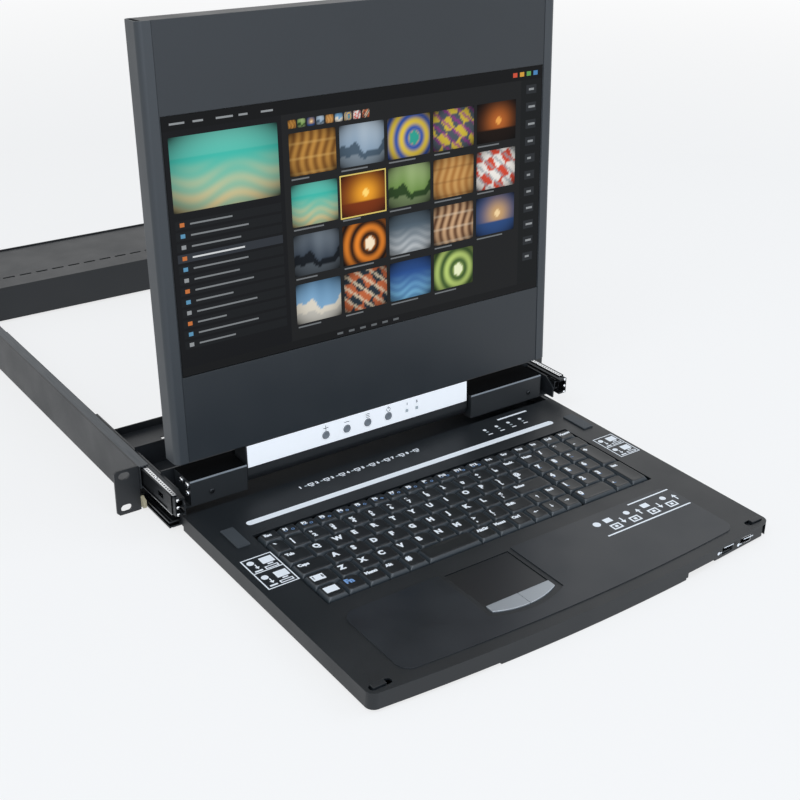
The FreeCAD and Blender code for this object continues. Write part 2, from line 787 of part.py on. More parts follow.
def hinge_cover(side):
    """Folded steel cover over a hinge, open below, with a hole for the shaft."""
    x0, x1 = cover_ends[side]
    wall = 1.2
    floor = D.carriage_floor + 1.2
    body = new_body("hinge_cover_" + side)
    pad(body, "XY", floor, D.cover_top,
        [rectangle(x0, x1, D.cover_front, D.cover_back)])
    pocket(body, "XY", floor - 1, D.cover_top - wall,
           [rectangle(x0 + wall, x1 - wall, D.cover_front + wall, D.cover_back - wall)])
    near, far = (x1 - 3, x1 + 3) if side == "left" else (x0 - 3, x0 + 3)
    pocket(body, "YZ", near, far, (),
           [(D.axis_y, D.axis_z, D.pin_radius + 0.8)])
    front = D.cover_front.value
    round_edges(body, 1.0, lambda edge: abs(edge.BoundBox.ZMin - D.cover_top.value) < 0.01
                and edge.BoundBox.YMax < front + 0.01)
    return body


node(hinge_cover("left"), "hinge_cover_left")
node(hinge_cover("right"), "hinge_cover_right")

bore = D.pin_radius + D.pin_play


def hinge_bracket(low, high):
    """Base plate with a bored barrel that holds one shaft."""
    body = new_body("hinge_bracket")
    base = D.carriage_floor + 1.2
    reach = 5.6
    pad(body, "XY", base, base + 1.8, [rectangle(low - 5, high + 5, -48.0, -27.0)])
    pad(body, "YZ", low, high, [[
        (D.axis_y - reach, base + 1.79), (D.axis_y + reach, base + 1.79),
        (D.axis_y + reach, D.axis_z, half_turn(reach)), (D.axis_y - reach, D.axis_z)]])
    pocket(body, "YZ", low - 1, high + 1, (), [(D.axis_y, D.axis_z, bore)])
    return body


node(gather(hinge_bracket(-182.0, -150.0), hinge_bracket(122.0, 172.0)), "hinge_brackets")

# ---- display ----------------------------------------------------------------

face = D.axis_y - D.face_gap
back = D.axis_y + D.back_gap
housing_low = D.axis_z + D.display_bottom
housing_high = D.axis_z + D.display_top
display_half = D.display_width / 2
panel_edge = display_half - D.rail_width
screen_half = D.screen_width / 2
screen_low = D.axis_z + D.screen_bottom
screen_high = screen_low + D.screen_height


def hinge_arm(outer_end, inner_end, leaf_low):
    """Shaft with a flat leaf on its inner end that carries the display."""
    low = min(outer_end, inner_end)
    shaft = rod("X", D.pin_radius, abs(inner_end - outer_end), low, D.axis_y, D.axis_z)
    leaf = box(leaf_low, leaf_low + 26, D.axis_y - 1.2, D.axis_y + 1.2,
               D.axis_z - 2, D.axis_z + 78)
    return fuse(shaft, leaf)


node(gather(hinge_arm(-186.0, -130.0, -131.0), hinge_arm(182.0, 97.0, 72.0)),
     "hinge_arms", tilted=True)


def side_rail():
    """Rolled side rail of the display housing, a channel open to the inside."""
    wall = D.shell_gauge + 0.2
    bend_front, bend_back = 5.0, 3.0
    edge = -display_half
    inner = -panel_edge
    body = new_body("side_rail")
    pad(body, "XY", housing_low, housing_high, [[
        (inner, face), (inner, face + wall), (edge + bend_front, face + wall, -(bend_front - wall)),
        (edge + wall, face + bend_front), (edge + wall, back - bend_back, -(bend_back - wall)),
        (edge + bend_back, back - wall), (inner, back - wall), (inner, back),
        (edge + bend_back, back, bend_back),
        (edge, back - bend_back), (edge, face + bend_front, bend_front),
        (edge + bend_front, face)]])
    return body


left_rail = side_rail()
node(gather(left_rail, mirrored(left_rail)), "lcd_side_rails", tilted=True)


def front_panel():
    body = new_body("lcd_front_panel")
    y = face + 0.4
    half = panel_edge - 0.2
    pad(body, "XZ", y, y + D.shell_gauge,
        [rectangle(-half, half, housing_low, housing_high)])
    window = screen_half + 0.3
    pocket(body, "XZ", y - 1, y + 3,
           [rectangle(-window, window, screen_low - 0.3, screen_high + 0.3)])
    return body


node(front_panel(), "lcd_front_panel", tilted=True)
node(box(-screen_half, screen_half, face + 0.9, face + 2.3, screen_low, screen_high),
     "lcd_glass", tilted=True)
node(box(-199.0, 199.0, face + 2.4, face + 8.6, screen_low - 9, screen_high + 9),
     "lcd_module", tilted=True)


def back_shell():
    """Rear cover of the display with folded ends, a raised field and vents."""
    body = new_body("lcd_back_shell")
    half = panel_edge - 0.2
    wall = D.shell_gauge
    front_y = face + 1.7
    pad(body, "XZ", back - wall, back, [rectangle(-half, half, housing_low, housing_high)])
    capped = display_half - 5
    pad(body, "XY", housing_high - wall, housing_high,
        [rectangle(-capped, capped, front_y, back - wall - 0.3)])
    pad(body, "XY", housing_high - wall, housing_high,
        [rectangle(-half, half, back - wall - 0.4, back - wall + 0.1)])
    pad(body, "XY", housing_low, housing_low + wall,
        [rectangle(-half, half, front_y, back - wall + 0.1)])
    pocket(body, "XY", housing_low - 1, housing_low + 2,
           [rectangle(D.tongue_left + 2, D.tongue_right - 2, front_y + 0.8, back - 3)])
    for level in (housing_low + 40, housing_high - 60):
        vent = pocket(body, "XZ", back - 3, back + 1, [
            [(x, level), (x + 2.6, level), (x + 2.6, level + 22), (x, level + 22)]
            for x in (as_size(-120.0),)])
        repeat(body, vent, "H_Axis", 234.0, 13)
    return body


node(back_shell(), "lcd_back_shell", tilted=True)
node(box(-62.0, 66.0, back - 8.6, back - 7.0, housing_high - 110, housing_high - 34),
     "lcd_controller_board", tilted=True)

MENU_BUTTONS = (-56.6, -34.0, -11.2, 11.9)
MENU_LIGHTS = (33.0, 44.5)
menu_z = D.axis_z + 15.2
menu_hole = D.osd_button_radius + D.moving_gap


def light_windows():
    return [rectangle(x - 1.6, x + 1.6, menu_z - 1.6, menu_z + 1.6) for x in MENU_LIGHTS]


def hinge_tongue():
    """Round-bottomed box below the housing that turns on the hinge shafts."""
    wall = 1.6
    radius = (back - face) / 2
    body = new_body("hinge_tongue")
    pad(body, "YZ", D.tongue_left, D.tongue_right, [[
        (face, housing_low), (face, D.axis_z, half_turn(radius)), (back, D.axis_z),
        (back, housing_low)]])
    pocket(body, "YZ", D.tongue_left + wall, D.tongue_right - wall, [[
        (face + wall, housing_low + 1), (face + wall, D.axis_z, half_turn(radius - wall)),
        (back - wall, D.axis_z), (back - wall, housing_low + 1)]])
    for x in (D.tongue_left, D.tongue_right):
        pocket(body, "YZ", x - 3, x + 3, (), [(D.axis_y, D.axis_z, D.pin_radius)])
    clearances = [rectangle(x - menu_hole, x + menu_hole, menu_z - menu_hole,
                            menu_z + menu_hole) for x in MENU_BUTTONS]
    pocket(body, "XZ", face - 1, face + wall + 1, light_windows() + clearances)
    return body


node(hinge_tongue(), "hinge_tongue", tilted=True)


def menu_overlay():
    body = new_body("menu_overlay")
    pad(body, "XZ", face - 0.5, face, [rectangle(
        D.tongue_left + 1, D.tongue_right - 1, D.axis_z + 6.2, housing_low - 0.6)])
    pocket(body, "XZ", face - 1, face + 1, light_windows(),
           [(x, menu_z, menu_hole) for x in MENU_BUTTONS])
    return body


node(menu_overlay(), "menu_overlay", tilted=True)
node(gather(*[box(x - 1.5, x + 1.5, face - 0.7, face + 3.3, menu_z - 1.5, menu_z + 1.5)
              for x in MENU_LIGHTS]), "menu_lights", tilted=True)
node(box(-84.0, 66.0, face + 3.9, face + 5.5, D.axis_z + 7, D.axis_z + 24),
     "menu_board", tilted=True)


def menu_button(x):
    """Push button on a square flange that keeps it behind the housing."""
    cap = rod("Y", D.osd_button_radius, 3.4, x, face - 1.3, menu_z)
    reach = D.osd_button_radius + 0.9
    flange = box(x - reach, x + reach, face + 1.9, face + 2.5, menu_z - reach, menu_z + reach)
    return fuse(cap, flange)


for number, x in enumerate(MENU_BUTTONS, 1):
    node(menu_button(x), "menu_button_%d" % number, tilted=True)

# ---- keyboard tray ----------------------------------------------------------

deck_half = D.deck_width / 2
deck_under = D.deck_top - D.deck_gauge
skirt_low = D.deck_top - D.skirt_height
corner_y = D.deck_front + D.deck_bow
keys_right = D.keys_left + D.key_pitch * 17.72
BUTTON_BACK, BUTTON_FRONT, BUTTON_BOW = -306.6, -315.5, 70.0
PORT_LIGHTS = [(-92.7 + 16.4 * n, -72.0) for n in range(8)]
STATUS_LIGHTS = [(106.0, -80.5), (120.6, -80.8), (135.2, -81.0), (149.8, -81.3)]
DECK_LIGHTS = PORT_LIGHTS + STATUS_LIGHTS
USB_PORTS = (152.0, 176.0)
usb_z = D.deck_top - 8.4


def bow_radius(inset):
    """Radius of the bowed front, inset by a distance.

    From its chord between the corners and its rise."""
    chord = deck_half - D.deck_corner
    return (chord * chord + D.deck_bow * D.deck_bow) / (D.deck_bow * 2) - inset


def deck_outline(inset, rear):
    """The deck in plan: straight sides, rounded corners and a bowed front."""
    side = deck_half - inset
    turn = D.deck_corner
    front = corner_y + inset
    corner = turn * 1.01
    return [(-side, rear), (-side, front + turn, corner), (turn - side, front, bow_radius(inset)),
            (side - turn, front, corner), (side, front + turn), (side, rear)]


def deck_cover():
    """Moulded deck: skirted plate, raised palm rest and all its openings."""
    body = new_body("deck_cover")
    pad(body, "XY", skirt_low, D.deck_top, [deck_outline(as_size(0.0), D.deck_back)])
    pocket(body, "XY", skirt_low - 1, deck_under, [deck_outline(D.skirt_gauge, D.deck_back + 5)])
    rest = 172.0
    rest_front = corner_y + 8
    pad(body, "XY", D.deck_top - 0.1, D.deck_top + 0.8, [[
        (-rest, -265.0), (-rest, rest_front + 12, 12.1), (12 - rest, rest_front, bow_radius(8)),
        (rest - 12, rest_front, 12.1), (rest, rest_front + 12), (rest, -265.0, 12.1),
        (rest - 12, -253.0), (12 - rest, -253.0, 12.1)]])
    high = D.deck_top + 3
    pocket(body, "XY", D.deck_top, high, [[
        (D.pad_left - 4.5, -251.0), (D.pad_left - 4.5, BUTTON_FRONT - 3.5, BUTTON_BOW + 6),
        (D.pad_right + 4.5, BUTTON_FRONT - 3.5), (D.pad_right + 4.5, -251.0)]])
    pocket(body, "XY", deck_under - 1, high, [rectangle(
        D.keys_left - 2, keys_right + 2, D.keys_front - 2, -117.5)])
    pocket(body, "XY", deck_under - 1, high, [
        rectangle(D.pad_left, D.pad_right, D.pad_front, D.pad_back)])
    pocket(body, "XY", deck_under - 1, high, [button_outline(
        D.pad_left + 0.6, D.pad_right - 0.6, 0.0)])
    for side in (-1, 1):
        pocket(body, "XY", deck_under - 1, high, [slot(side * 193.0, -337.3, 19.0, 6.4)])
    pocket(body, "XY", skirt_low - 1, deck_under, [rectangle(
        D.port_left - 0.4, D.port_right + 0.5, D.deck_front - 3, corner_y + 16)])
    pocket(body, "XY", skirt_low - 1, skirt_low + 4.2, [rectangle(
        D.grip_right + 2, D.port_left + 0.1, D.deck_front - 3, corner_y + 4)])
    pocket(body, "XY", deck_under - 1, high,
           [rectangle(x - 1.5, x + 1.5, y - 0.8, y + 0.8) for x, y in DECK_LIGHTS])
    return body


def button_outline(left, right, inset):
    """Touchpad buttons in plan: straight at the back, bowed at the front."""
    return [(left, BUTTON_BACK - inset), (left, BUTTON_FRONT + inset, BUTTON_BOW),
            (right, BUTTON_FRONT + inset), (right, BUTTON_BACK - inset)]


node(deck_cover(), "deck_cover")
node(gather(*[box(x - 1.4, x + 1.4, y - 0.7, y + 0.7, D.deck_top - 3.9, D.deck_top + 0.1)
              for x, y in DECK_LIGHTS]), "deck_lights")


def tray_pan():
    """Folded steel pan that carries the deck and reaches back into the slides."""
    side = plate_inner - D.tray_slide_thick
    low, floor = -18.2, -17.0
    front = corner_y + 5.8
    body = new_body("tray_pan")
    pad(body, "XY", low, floor, [[
        (-side, front + 9), (9 - side, front), (side - 9, front), (side, front + 9),
        (side, D.tray_back), (-side, D.tray_back)]])
    for left, right in ((-side, 1.2 - side), (side - 1.2, side)):
        pad(body, "XY", floor - 0.01, deck_under - 0.1,
            [rectangle(left, right, front + 9, D.tray_back)])
    pad(body, "XY", floor - 0.01, deck_under - 2.5,
        [rectangle(-side + 9, D.port_left - 1, front, front + 1.2)])
    pad(body, "XY", floor - 0.01, -9.0,
        [rectangle(-side + 1, side - 1, D.tray_back - 1.2, D.tray_back)])
    pocket(body, "XY", low - 1, floor + 1, [rectangle(-150.0, 150.0, 0.0, 105.0)])
    pocket(body, "XY", low - 1, floor + 1, [rectangle(D.port_left - 1, side + 1, front - 1, -318.0)])
    return body


node(tray_pan(), "tray_pan")


def bowed_strip(left, right, outer_inset, depth):
    """Part of a strip that follows the bowed front between two side cuts."""
    outer = bow_radius(outer_inset)
    inner = bow_radius(outer_inset + depth)

    def front_y(x, inset):
        """Where the bow's front lies at x, from its radius."""
        radius = bow_radius(inset).value
        return D.deck_front + inset + (radius - math.sqrt(radius ** 2 - as_size(x).value ** 2))

    return [(left, front_y(left, outer_inset), outer), (right, front_y(right, outer_inset)),
            (right, front_y(right, outer_inset + depth), -inner),
            (left, front_y(left, outer_inset + depth))]


def pull_grip():
    """Rim below the front skirt with a finger channel behind it."""
    body = new_body("pull_grip")
    pad(body, "XY", D.grip_bottom, skirt_low,
        [bowed_strip(D.grip_left, D.grip_right, as_size(0.2), 4.6)])
    pad(body, "XY", skirt_low - 0.01, deck_under - 0.2,
        [bowed_strip(D.grip_left, D.grip_right, D.skirt_gauge + 0.2, 3.0)])
    round_edges(body, 1.2, lambda edge: abs(edge.BoundBox.ZMax - D.grip_bottom.value) < 0.01
                and edge.Length > 100 and edge.BoundBox.YMin < D.deck_front.value + 1)
    return body


node(pull_grip(), "pull_grip")

def port_block():
    """Moulded block at the front right with two wells for USB sockets."""
    top = deck_under - 0.1
    body = new_body("usb_port_block")
    pad(body, "XY", skirt_low, top, [[
        (D.port_left, -325.0), (D.port_left, -348.0), (D.port_right - 4, -343.6),
        (D.port_right, -339.0), (D.port_right, -325.0)]])
    pocket(body, "XY", deck_under - 2.3, deck_under + 1,
           [rectangle(180.0, D.port_right + 1, -342.2, -324.0)])
    for x in USB_PORTS:
        pocket(body, "XZ", -350.0, -331.0,
               [rectangle(x - 6.6, x + 6.6, usb_z - 2.95, usb_z + 2.95)])
    return body


node(port_block(), "usb_port_block")


def usb_socket(x):
    """Folded steel shell of one socket, open to the front."""
    front, rear = -345.0, -331.0
    shell = box(x - 6.6, x + 6.6, front, rear, usb_z - 2.95, usb_z + 2.95)
    well = box(x - 6.2, x + 6.2, front - 1, rear - 0.5, usb_z - 2.55, usb_z + 2.55)
    return cut(shell, well)


node(gather(*[usb_socket(x) for x in USB_PORTS]), "usb_sockets")

node(box(D.keys_left - 1.6, keys_right + 1.6, D.keys_front - 1.6, -118.0, -12.6, -10.8),
     "keyboard_base")
node(box(D.pad_left + 0.3, D.pad_right - 0.3, D.pad_front + 0.3, D.pad_back - 0.3,
         D.deck_top - 2.6, D.deck_top - 0.6), "touchpad")
node(gather(*[box(x, x + 12.0, -129.0, -98.5, D.deck_top, D.deck_top + 1.5)
              for x in (-192.0, 187.0)]), "bumper_pads")
node(box(-100.0, 160.0, -96.0, -63.0, -12.4, -10.8), "tray_board")


def touchpad_button(left, right, which):
    """One silver button, cut from the shared bowed outline."""
    body = new_body("touchpad_button")
    side = D.moving_gap
    split = (D.pad_left + D.pad_right) / 2
    ends = (left + side, split - 0.2) if which == "left" else (split + 0.2, right - side)
    pad(body, "XY", D.deck_top - 3.0, D.deck_top + 1.0, [button_outline(left + side, right - side,
                                                                      side)])
    trim = (rectangle(ends[1], right + 5, -330.0, -300.0) if which == "left"
            else rectangle(left - 5, ends[0], -330.0, -300.0))
    pocket(body, "XY", D.deck_top - 4, D.deck_top + 3, [trim])
    return body


for which in ("left", "right"):
    node(touchpad_button(D.pad_left + 0.6, D.pad_right - 0.6, which),
         "touchpad_button_" + which)


def corner_latch():
    """Sprung release tab in its slot at the left front corner."""
    tab = box(-200.6, -189.2, -339.9, -334.7, deck_under - 0.4, D.deck_top + 1.6)
    flange = box(-201.4, -187.4, -340.9, -333.6, deck_under - 1.8, deck_under - 0.3)
    return fuse(tab, flange)


left_latch = corner_latch()
node(left_latch, "release_latch_left")
node(mirrored(left_latch), "release_latch_right")

# ---- keys -------------------------------------------------------------------

key_low = D.deck_top + D.key_proud - D.key_height
FUNCTION_ROW_DEPTH = 15.0
NUMPAD_START = 13.72


def keycap(column, width, front, depth):
    """A tapered cap: a wedge whose small face looks up."""
    left = D.keys_left + D.key_pitch * column + D.key_gap / 2
    across = D.key_pitch * width - D.key_gap
    deep = as_size(depth) - D.key_gap
    near = as_size(front) + D.key_gap / 2
    cap = doc.addObject("Part::Wedge", "key")
    for prop, size in (("Xmin", 0.0), ("Xmax", across), ("Zmin", 0.0), ("Zmax", deep),
                       ("Ymin", 0.0), ("Ymax", D.key_height), ("X2min", D.key_taper),
                       ("X2max", across - D.key_taper), ("Z2min", D.key_taper * 0.6),
                       ("Z2max", deep - D.key_taper)):
        bind(cap, prop, size)
    cap.Placement = FreeCAD.Placement(Vector(), FreeCAD.Rotation(Vector(1, 0, 0), 90))
    place(cap, left, near + deep, key_low)
    return cap


def key_row(widths, front, depth, start=0.0):
    """Keys side by side; a negative width leaves a gap."""
    caps = []
    column = start
    for width in widths:
        if width > 0:
            caps.append(keycap(column, width, front, depth))
        column += abs(width)
    return caps


def row_front(number):
    return D.keys_front + D.key_pitch * number


ARROW = 0.93
KEY_ROWS = {
    "control_keys": (0, [1.0] * 5 + [-2.8] + [1.0] * 3 + [ARROW] * 3),
    "shift_row_keys": (1, [1.3] + [1.0] * 9 + [1.43, ARROW, 0.94]),
    "caps_row_keys": (2, [1.6] + [1.0] * 10 + [2.0]),
    "tab_row_keys": (3, [1.3] + [1.0] * 11 + [1.3]),
    "number_row_keys": (4, [0.8] + [1.0] * 11 + [0.8, 1.0]),
}
for name, (number, widths) in KEY_ROWS.items():
    node(gather(*key_row(widths, row_front(number), D.key_pitch)), name)
node(keycap(5, 2.8, row_front(0), D.key_pitch), "space_bar")
node(gather(*key_row([17.72 / 19] * 19, row_front(5) + 0.6, FUNCTION_ROW_DEPTH)),
     "function_row_keys")

numpad = []
for number, widths in enumerate(([2.0, 1.0], [1.0] * 3, [1.0] * 3, [1.0] * 3, [1.0] * 4)):
    numpad += key_row(widths, row_front(number), D.key_pitch, NUMPAD_START)
for number in (0, 2):
    numpad.append(keycap(NUMPAD_START + 3, 1.0, row_front(number), D.key_pitch * 2))
node(gather(*numpad), "number_pad_keys")

# ---- check and write --------------------------------------------------------

doc.recompute()
for obj in doc.Objects:
    if "Invalid" in obj.State or "Error" in obj.State:
        raise RuntimeError("%s (%s) did not recompute" % (obj.Name, obj.Label))
os.makedirs("parts", exist_ok=True)
for obj in NODES:
    if obj.Shape.isNull() or not obj.Shape.isValid() or not obj.Shape.Solids:
        raise RuntimeError("%s has no valid solid" % obj.Label)
    obj.Shape.exportStep(os.path.join("parts", obj.Label + ".step"))
print("%d nodes, %d solids" % (len(NODES), sum(len(o.Shape.Solids) for o in NODES)))
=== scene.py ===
"""Finishes, keys, prints, screen picture, lights and camera for a rackmount console
drawer: a keyboard tray and a hinged display that slide out of an equipment rack."""

import json
import math

import bmesh
import bpy
import numpy as np
from mathutils import Matrix, Vector


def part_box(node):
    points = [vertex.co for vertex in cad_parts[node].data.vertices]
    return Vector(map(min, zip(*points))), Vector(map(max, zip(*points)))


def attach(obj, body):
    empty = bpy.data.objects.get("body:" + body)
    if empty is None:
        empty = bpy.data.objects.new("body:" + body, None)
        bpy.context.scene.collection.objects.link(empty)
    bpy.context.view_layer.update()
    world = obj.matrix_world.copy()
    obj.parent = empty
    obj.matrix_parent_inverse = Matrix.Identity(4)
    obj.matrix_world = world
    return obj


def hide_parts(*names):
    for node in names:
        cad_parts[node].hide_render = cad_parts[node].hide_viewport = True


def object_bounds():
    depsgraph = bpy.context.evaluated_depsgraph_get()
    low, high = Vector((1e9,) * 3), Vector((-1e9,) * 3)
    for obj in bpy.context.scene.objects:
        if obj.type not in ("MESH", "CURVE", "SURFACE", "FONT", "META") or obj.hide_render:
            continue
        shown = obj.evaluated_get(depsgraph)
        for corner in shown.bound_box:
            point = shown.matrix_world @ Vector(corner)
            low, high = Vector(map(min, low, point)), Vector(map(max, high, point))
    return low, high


bl_info = {
    "name": "Rackmount console drawer",
    "version": (1, 0, 0),
    "blender": (4, 5, 0),
    "location": "View3D > Sidebar > Console drawer",
    "description": "Finishes, keycaps, prints, screen picture and studio of a console drawer",
    "category": "Object",
}

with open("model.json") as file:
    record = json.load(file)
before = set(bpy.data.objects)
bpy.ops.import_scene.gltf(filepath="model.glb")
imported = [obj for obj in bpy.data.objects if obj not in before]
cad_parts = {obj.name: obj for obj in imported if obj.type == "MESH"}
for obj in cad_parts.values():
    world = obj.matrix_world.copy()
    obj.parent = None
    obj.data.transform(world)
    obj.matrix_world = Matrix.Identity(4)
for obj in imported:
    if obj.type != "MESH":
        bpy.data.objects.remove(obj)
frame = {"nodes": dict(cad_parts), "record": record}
CAD_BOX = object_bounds()
MM = 0.001  # all sizes below are in millimetres and go through this

# ---- colours ----------------------------------------------------------------


def linear(code):
    """An sRGB hex colour as linear red, green and blue.

    Each channel c is c / 12.92 near black and ((c + 0.055) / 1.055) ** 2.4 above."""
    channels = np.array([int(code[i:i + 2], 16) for i in (1, 3, 5)]) / 255
    low = channels / 12.92
    high = ((channels + 0.055) / 1.055) ** 2.4
    return tuple(float(c) for c in np.where(channels <= 0.04045, low, high))


def colour_property(name, description, code):
    """A colour setting whose default is an sRGB hex colour."""
    return bpy.props.FloatVectorProperty(
        name=name, description=description, default=linear(code), size=3,
        min=0.0, max=1.0, subtype="COLOR")


def length_property(name, description, size):
    """A length setting whose default is given in millimetres."""
    return bpy.props.FloatProperty(
        name=name, description=description, default=size * MM, min=0.0,
        subtype="DISTANCE", unit="LENGTH")


def power_property(name, description, power):
    """A setting for a lamp's power in watts."""
    return bpy.props.FloatProperty(
        name=name, description=description, default=power, min=0.0,
        subtype="POWER", unit="POWER")


class FinishSettings(bpy.types.PropertyGroup):
    """Colours of the drawer's own materials."""
    steel: colour_property("Coated steel", "Side plates, pan and brackets", "#1d2023")
    rail: colour_property("Display rails", "Painted side rails of the display", "#33383c")
    panel: colour_property("Display panel", "Painted front panel of the display", "#20262b")
    deck: colour_property("Deck", "Moulded keyboard deck", "#12171b")
    palm: colour_property("Palm rest", "Raised rest in front of the keys", "#1a2026")
    key: colour_property("Keycaps", "Moulded keycaps", "#13171a")
    # the skirts' paler colour is a painted highlight on the sides of the keys
    skirt: colour_property("Keycap skirts", "Polished sides of the keycaps", "#3c4246")
    pad: colour_property("Touchpad", "Touchpad surface", "#14181c")
    silver: colour_property("Touchpad buttons", "Silver-painted buttons", "#a9aeb2")
    strip: colour_property("Menu strip", "Pale film over the hinge box", "#fafbfc")
    ink: colour_property("White ink", "Legends and deck prints", "#eef1f3")
    blue_ink: colour_property("Blue ink", "Second legends on the keys", "#7fa6d8")


class KeySettings(bpy.types.PropertyGroup):
    """Shape of the keycaps and their legends."""
    corner: length_property("Corner", "Corner radius of a key's top", 1.9)
    edge: length_property("Edge", "Rounding round a key's top", 0.7)
    dish: length_property("Dish", "Depth of the hollow in a key's top", 0.45)
    letter: length_property("Letter", "Height of a single letter", 5.4)
    word: length_property("Word", "Height of a word's letters", 3.4)


class ScreenSettings(bpy.types.PropertyGroup):
    """The picture shown by the display."""
    glow: bpy.props.FloatProperty(
        name="Glow", description="Strength of the lit picture", default=1.0, min=0.0)
    columns: bpy.props.IntProperty(
        name="Columns", description="Columns of small pictures", default=5, min=1, max=8)
    rows: bpy.props.IntProperty(
        name="Rows", description="Rows of small pictures", default=4, min=1, max=6)
    gap: length_property("Gap", "Space between small pictures", 3.6)


class StudioSettings(bpy.types.PropertyGroup):
    """Floor and light."""
    floor: colour_property("Floor", "Plain pale floor", "#e9ebec")
    sky: bpy.props.FloatProperty(
        name="Sky", description="Strength of the even light from all round",
        default=0.55, min=0.0)
    key_light: power_property("Key light", "Power of the large lamp above the left", 26.0)
    fill_light: power_property("Fill light", "Power of the lamp on the right", 12.0)
    front_light: power_property("Front light", "Power of the low lamp in front", 22.0)


# ---- places read from the frame ---------------------------------------------


def extent(node):
    """A CAD node's lowest and highest corner in millimetres."""
    low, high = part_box(node)
    return np.array(low) / MM, np.array(high) / MM


LEAN = math.radians(2.6)                 # how far the open display leans back
HINGE = np.array((0.0, -38.0, 9.0))      # the display's hinge axis, at the middle
DECK_TOP = extent("bumper_pads")[0][2]   # the pads stand on the deck
PALM_TOP = extent("deck_cover")[1][2]    # the palm rest is the deck's highest face
ABOVE = 0.05                             # prints stand this far off their surface


def leaned(points):
    """Points leaned back about the hinge's axis: y and z are rotated by -LEAN."""
    arm = np.asarray(points, float) - HINGE
    c, s = math.cos(-LEAN), math.sin(-LEAN)
    y, z = arm[..., 1], arm[..., 2]
    return np.stack([arm[..., 0], y * c - z * s, y * s + z * c], -1) + HINGE


def shells(node):
    """The separate solids of a CAD node: places, triangles and a number for each place.

    Vertices at one place share a number.  The lowest number then spreads over each
    triangle until nothing changes, so that each solid ends with a number of its own."""
    mesh = frame["nodes"][node].data
    points = np.empty(len(mesh.vertices) * 3)
    mesh.vertices.foreach_get("co", points)
    corners = np.empty(len(mesh.loops), int)
    mesh.loops.foreach_get("vertex_index", corners)
    places, label = np.unique((points.reshape(-1, 3) / MM).round(3), axis=0,
                              return_inverse=True)
    triangles = label.ravel()[corners].reshape(-1, 3)
    group = np.arange(len(places))
    while True:
        spread = group.copy()
        np.minimum.at(spread, triangles.ravel(), np.repeat(group[triangles].min(1), 3))
        if (spread == group).all():
            return places, triangles, group
        group = spread


def boxes(node):
    """Lowest and highest corner of each solid in a node, front row first, left to right."""
    places, _, group = shells(node)
    found = [(places[group == g].min(0), places[group == g].max(0)) for g in np.unique(group)]
    return sorted(found, key=lambda b: (round(b[0][1]), b[0][0]))


# ---- making pieces ----------------------------------------------------------


def finish_piece(piece, body, finish, nodes=()):
    """Gives a piece its material and its moving body, and hides the CAD nodes it replaces."""
    if finish not in bpy.data.materials:
        raise RuntimeError("run the finishes first: there is no material " + finish)
    if not piece.data.materials:
        piece.data.materials.append(bpy.data.materials[finish])
    bpy.context.scene.collection.objects.link(piece)
    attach(piece, body)
    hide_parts(*nodes)
    return piece


def new_piece(name, points, faces, body, finish, nodes=(), sharp=40.0):
    """A mesh piece from points in millimetres; edges steeper than sharp stay crisp."""
    mesh = bpy.data.meshes.new(name)
    mesh.from_pydata((np.asarray(points, float) * MM).tolist(), [], [list(f) for f in faces])
    mesh.shade_smooth()
    mesh.set_sharp_from_angle(angle=math.radians(sharp))
    mesh.validate()
    return finish_piece(bpy.data.objects.new(name, mesh), body, finish, nodes)


def grid_faces(rows, columns, closed):
    """Quads of a grid of points, row after row; closed joins the last column to the first."""
    across = np.arange(columns if closed else columns - 1)
    row, column = np.meshgrid(np.arange(rows - 1), across, indexing="ij")
    after = (column + 1) % columns
    quads = np.stack([row * columns + column, row * columns + after,
                      (row + 1) * columns + after, (row + 1) * columns + column], -1)
    return quads.reshape(-1, 4)


def joined(shapes):
    """Several (points, faces) shapes as one."""
    points, faces, count = [], [], 0
    for more_points, more_faces in shapes:
        points.append(np.asarray(more_points, float))
        faces += [[count + i for i in face] for face in more_faces]
        count += len(more_points)
    return np.concatenate(points), faces


def joined_piece(name, shapes, body, finish, nodes=(), sharp=40.0):
    """Several (points, faces) shapes as one mesh piece."""
    points, faces = joined(shapes)
    return new_piece(name, points, faces, body, finish, nodes, sharp)


MERGE_DISTANCE = 0.01      # corners of a CAD node closer than this are one
CRISP_ANGLE = math.radians(32)    # edges steeper than this are shaded as edges
BEVEL_ANGLE = math.radians(40)    # and those steeper than this are rounded over


def softened(node, body, finish, width, segments=2):
    """A copy of a CAD node whose edges are rounded over by width.

    The large flat faces keep flat shading, and only the roundings catch the light."""
    shell = bmesh.new()
    shell.from_mesh(frame["nodes"][node].data)
    bmesh.ops.remove_doubles(shell, verts=shell.verts, dist=MERGE_DISTANCE * MM)
    mesh = bpy.data.meshes.new(node + "_soft")
    shell.to_mesh(mesh)
    shell.free()
    mesh.materials.clear()
    mesh.shade_smooth()
    mesh.set_sharp_from_angle(angle=CRISP_ANGLE)
    piece = bpy.data.objects.new(mesh.name, mesh)
    edge = piece.modifiers.new("Rounded edges", "BEVEL")
    edge.width = width * MM
    edge.segments = segments
    edge.limit_method = "ANGLE"
    edge.angle_limit = BEVEL_ANGLE
    edge.miter_outer = "MITER_ARC"
    edge.harden_normals = True
    flat = piece.modifiers.new("Flat faces shade flat", "WEIGHTED_NORMAL")
    flat.mode = "FACE_AREA"
    flat.weight = 100
    flat.keep_sharp = True
    return finish_piece(piece, body, finish, (node,))


